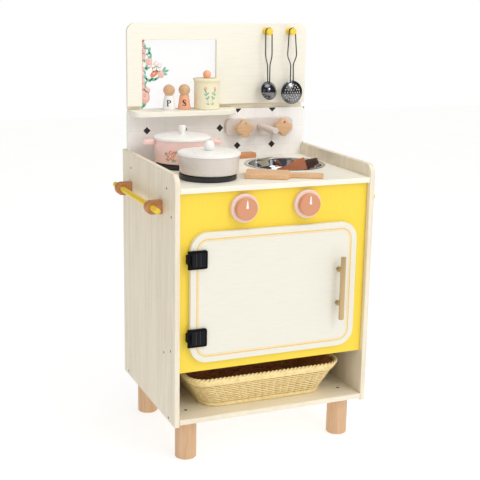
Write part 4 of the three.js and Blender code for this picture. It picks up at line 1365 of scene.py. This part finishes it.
def basket_floor(weave, centre, low, height, foot_half):
    """Wavy strands side by side from end to end of the foot."""
    half = foot_half - Vector((6, 6))
    corner = BASKET_CORNER * 0.8
    lines = int(2 * half.y / FLOOR_PITCH)
    steps = 56
    for line in range(lines):
        y = -half.y + (line + 0.5) * 2 * half.y / lines
        in_corner = max(0.0, abs(y) - (half.y - corner)) / corner
        reach = half.x - corner * (1 - math.sqrt(max(0.0, 1 - in_corner ** 2)))
        path = []
        for k in range(steps + 1):
            x = -reach + 2 * reach * k / steps
            wave = 1.1 * math.sin(2 * math.pi * x / 26 + math.pi * (line % 2))
            path.append(Vector((centre.x + x, centre.y + y, low.z + FLOOR_SHARE * height + 1.6 + wave)))
        # the floor strands are in the darker cane: painted shade inside the basket
        weave.tube(path, 2.3, 6, kind=1, flat=0.8)


def basket():
    low, centre, size = measure("basket")
    height = size.z
    top_half = size.to_2d() / 2
    foot_half = top_half - BASKET_FLARE
    weave = Builder()

    def wall(t, inset=0.0):
        """The wall's outline at a share t of the basket's height."""
        return round_outline(foot_half.lerp(top_half, t) - Vector((inset, inset)), BASKET_CORNER - inset)

    def at(share, t, out, inset=BASKET_WALL):
        position, normal = wall(t, inset)[0](share)
        place = position + normal * out
        return Vector((centre.x + place.x, centre.y + place.y, low.z + t * height))

    def hoop(t, out, count, inset=BASKET_WALL):
        return [at(k / count, t, out, inset) for k in range(count)]

    stakes = int(wall(1)[1] / STAKE_PITCH)
    step = 10  # points of a weaver from stake to stake
    samples = stakes * step
    rows = int((WEAVE_TOP - WEAVE_FOOT) * height * 1.12 / ROW_PITCH)
    for row in range(rows):
        t = WEAVE_FOOT + (WEAVE_TOP - WEAVE_FOOT) * row / (rows - 1)
        path = []
        for k in range(samples):
            swell = abs(math.sin(math.pi * (k / step + 0.06 * math.sin(row * 2.3)))) ** 0.6
            path.append(at(k / samples, t, 3.6 * swell - 1.8))
        weave.tube(path, WEAVER, 6, closed=True)
    for stake in range(stakes):
        weave.tube([at(stake / stakes, t, -1.2) for t in (0.03, 0.3, 0.6, 0.97)], STAKE, 6)

    def twist(t, out, radius, strand, winds, strands):
        """Strands wound round each other along the wall's outline."""
        count = winds * 10
        for which in range(strands):
            path = []
            for k in range(count):
                a = 2 * math.pi * (k / 10 + which / strands)
                path.append(at(k / count, t, out + radius * math.cos(a)) + UP * radius * math.sin(a))
            weave.tube(path, strand, 8, closed=True)

    for row in range(4):
        bulge = 2.4 + 1.2 * math.sin(math.pi * (row + 1) / 5)
        weave.tube(hoop(0.8 + 0.045 * row, bulge, samples), 2.2, 8, closed=True)
    twist(0.97, 0.8, 2.3, 2.3, 58, 2)
    twist(0.055, 1.4, 2.6, 2.5, 34, 3)
    # a sheet of the darker cane just inside the wall: painted shade of the basket's hollow, which also
    # stops light through the gaps
    weave.rings([hoop(t, 0, 160, SHADE_LINER_GAP) for t in (0.06, 0.35, 0.65, 0.93)], kind=1)
    basket_floor(weave, centre, low, height, foot_half)
    weave.make("woven_basket", [WICKER, WICKER_PAINTED_SHADE], "basket", ["basket"], sharp=180)


# ------------------------------------------------------------------ studio and camera, in metres

AMBIENT_DARK = 0.3  # from behind and the left
AMBIENT_LIGHT = 0.96  # from the front right and above
AMBIENT_FROM = (0.45, -0.6, 0.66)


def world():
    """White to the camera, dimmer ambient light from one side, and dark in reflections."""
    made = bpy.data.worlds.new("studio")
    bpy.context.scene.world = made
    made.use_nodes = True
    tree = made.node_tree
    tree.nodes.clear()
    out = tree.nodes.new("ShaderNodeOutputWorld")
    rays = tree.nodes.new("ShaderNodeLightPath")

    def background(colour):
        node = tree.nodes.new("ShaderNodeBackground")
        node.inputs["Strength"].default_value = 1.0
        node.inputs["Color"].default_value = colour
        return node

    def choose(factor, first, second):
        node = tree.nodes.new("ShaderNodeMixShader")
        for socket, source in enumerate((factor, first, second)):
            tree.links.new(source, node.inputs[socket])
        return node.outputs[0]

    where = tree.nodes.new("ShaderNodeTexCoord")
    towards = tree.nodes.new("ShaderNodeVectorMath")
    towards.operation = "DOT_PRODUCT"
    towards.inputs[1].default_value = AMBIENT_FROM
    tree.links.new(where.outputs["Generated"], towards.inputs[0])
    sky = tree.nodes.new("ShaderNodeMapRange")
    sky.inputs["From Min"].default_value = -1.0
    sky.inputs["To Min"].default_value = AMBIENT_DARK
    sky.inputs["To Max"].default_value = AMBIENT_LIGHT
    tree.links.new(towards.outputs["Value"], sky.inputs["Value"])
    ambient = background((1.0, 0.99, 0.97, 1))
    tree.links.new(sky.outputs["Result"], ambient.inputs["Strength"])
    reflected = background((0.08, 0.08, 0.085, 1))
    white = background((1, 1, 1, 1))
    lit = choose(rays.outputs["Is Glossy Ray"], ambient.outputs[0], reflected.outputs[0])
    tree.links.new(choose(rays.outputs["Is Camera Ray"], lit, white.outputs[0]), out.inputs["Surface"])


SOFT_WHITE = (1, 1, 0.99)
LIGHTS = (  # (name, place, target, size, watts, colour)
    ("key", (1.25, -2.7, 2.7), (0, 0, 0.5), (0.9, 0.9), 18, (1, 0.99, 0.97)),
    ("right_softbox", (0.7, -2.9, 1.9), (0.1, 0, 0.6), (1.5, 1.7), 5, SOFT_WHITE),
    ("left_softbox", (-2.2, -2.3, 1.8), (0.1, 0, 0.6), (1.5, 1.5), 2, SOFT_WHITE),
    ("overhead", (0.3, -0.5, 2.8), (0, -0.2, 0.6), (1.8, 1.4), 13, SOFT_WHITE),
)
FLOOR_HALF = 6.0


def area_light(name, place, target, size, watts, colour):
    lamp = bpy.data.lights.new(name, "AREA")
    lamp.shape = "RECTANGLE"
    lamp.size, lamp.size_y = size
    lamp.energy = watts
    lamp.color = colour
    holder = bpy.data.objects.new(name, lamp)
    bpy.context.scene.collection.objects.link(holder)
    holder.location = place
    holder.rotation_euler = (Vector(target) - Vector(place)).to_track_quat("-Z", "Y").to_euler()


def floor():
    mesh = bpy.data.meshes.new("floor")
    corners = [(FLOOR_HALF * x, FLOOR_HALF * y, 0) for x, y in ((-1, -1), (1, -1), (1, 1), (-1, 1))]
    mesh.from_pydata(corners, [], [(0, 1, 2, 3)])
    sheet = bpy.data.objects.new("floor", mesh)
    bpy.context.scene.collection.objects.link(sheet)
    paper = Shader("floor_paper", roughness=0.9, emission_strength=0.67, emission_color=(1, 1, 1, 1))
    tone = paper.noise((3, 3, 3))
    paper.colour(paper.ramp(tone, (0.3, (0.41, 0.41, 0.41, 1)), (0.7, (0.43, 0.43, 0.43, 1))))
    mesh.materials.append(paper.material)


CAMERA_PLACE = (-0.938588, -2.179332, 1.047419)
CAMERA_YAW = 0.401058584
CAMERA_PITCH = 0.240678985
CAMERA_ROLL = 0.0177268302
CAMERA_LENS = 77.107


def camera():
    data = bpy.data.cameras.new("camera")
    data.sensor_width = 36
    data.lens = CAMERA_LENS
    data.clip_end = 50
    holder = bpy.data.objects.new("camera", data)
    bpy.context.scene.collection.objects.link(holder)
    holder.matrix_world = (
        Matrix.Translation(CAMERA_PLACE)
        @ Matrix.Rotation(-CAMERA_YAW, 4, "Z")
        @ Matrix.Rotation(math.pi / 2 - CAMERA_PITCH, 4, "X")
        @ Matrix.Rotation(CAMERA_ROLL, 4, "Z")
    )
    bpy.context.scene.camera = holder


# ------------------------------------------------------------------ everything

for build in (
    boards, feet, panel_screws, pegs, side_rails, oven_door, door_handle, hinges, knobs, tap, burners, sink,
    vine_print, pink_pot, saucepan, shakers, jar, ladle, skimmer, spatula, brush, basket, world,
):
    build()
for light in LIGHTS:
    area_light(*light)
floor()
camera()

view = bpy.context.scene.view_settings
view.view_transform = "Standard"
view.look = "None"
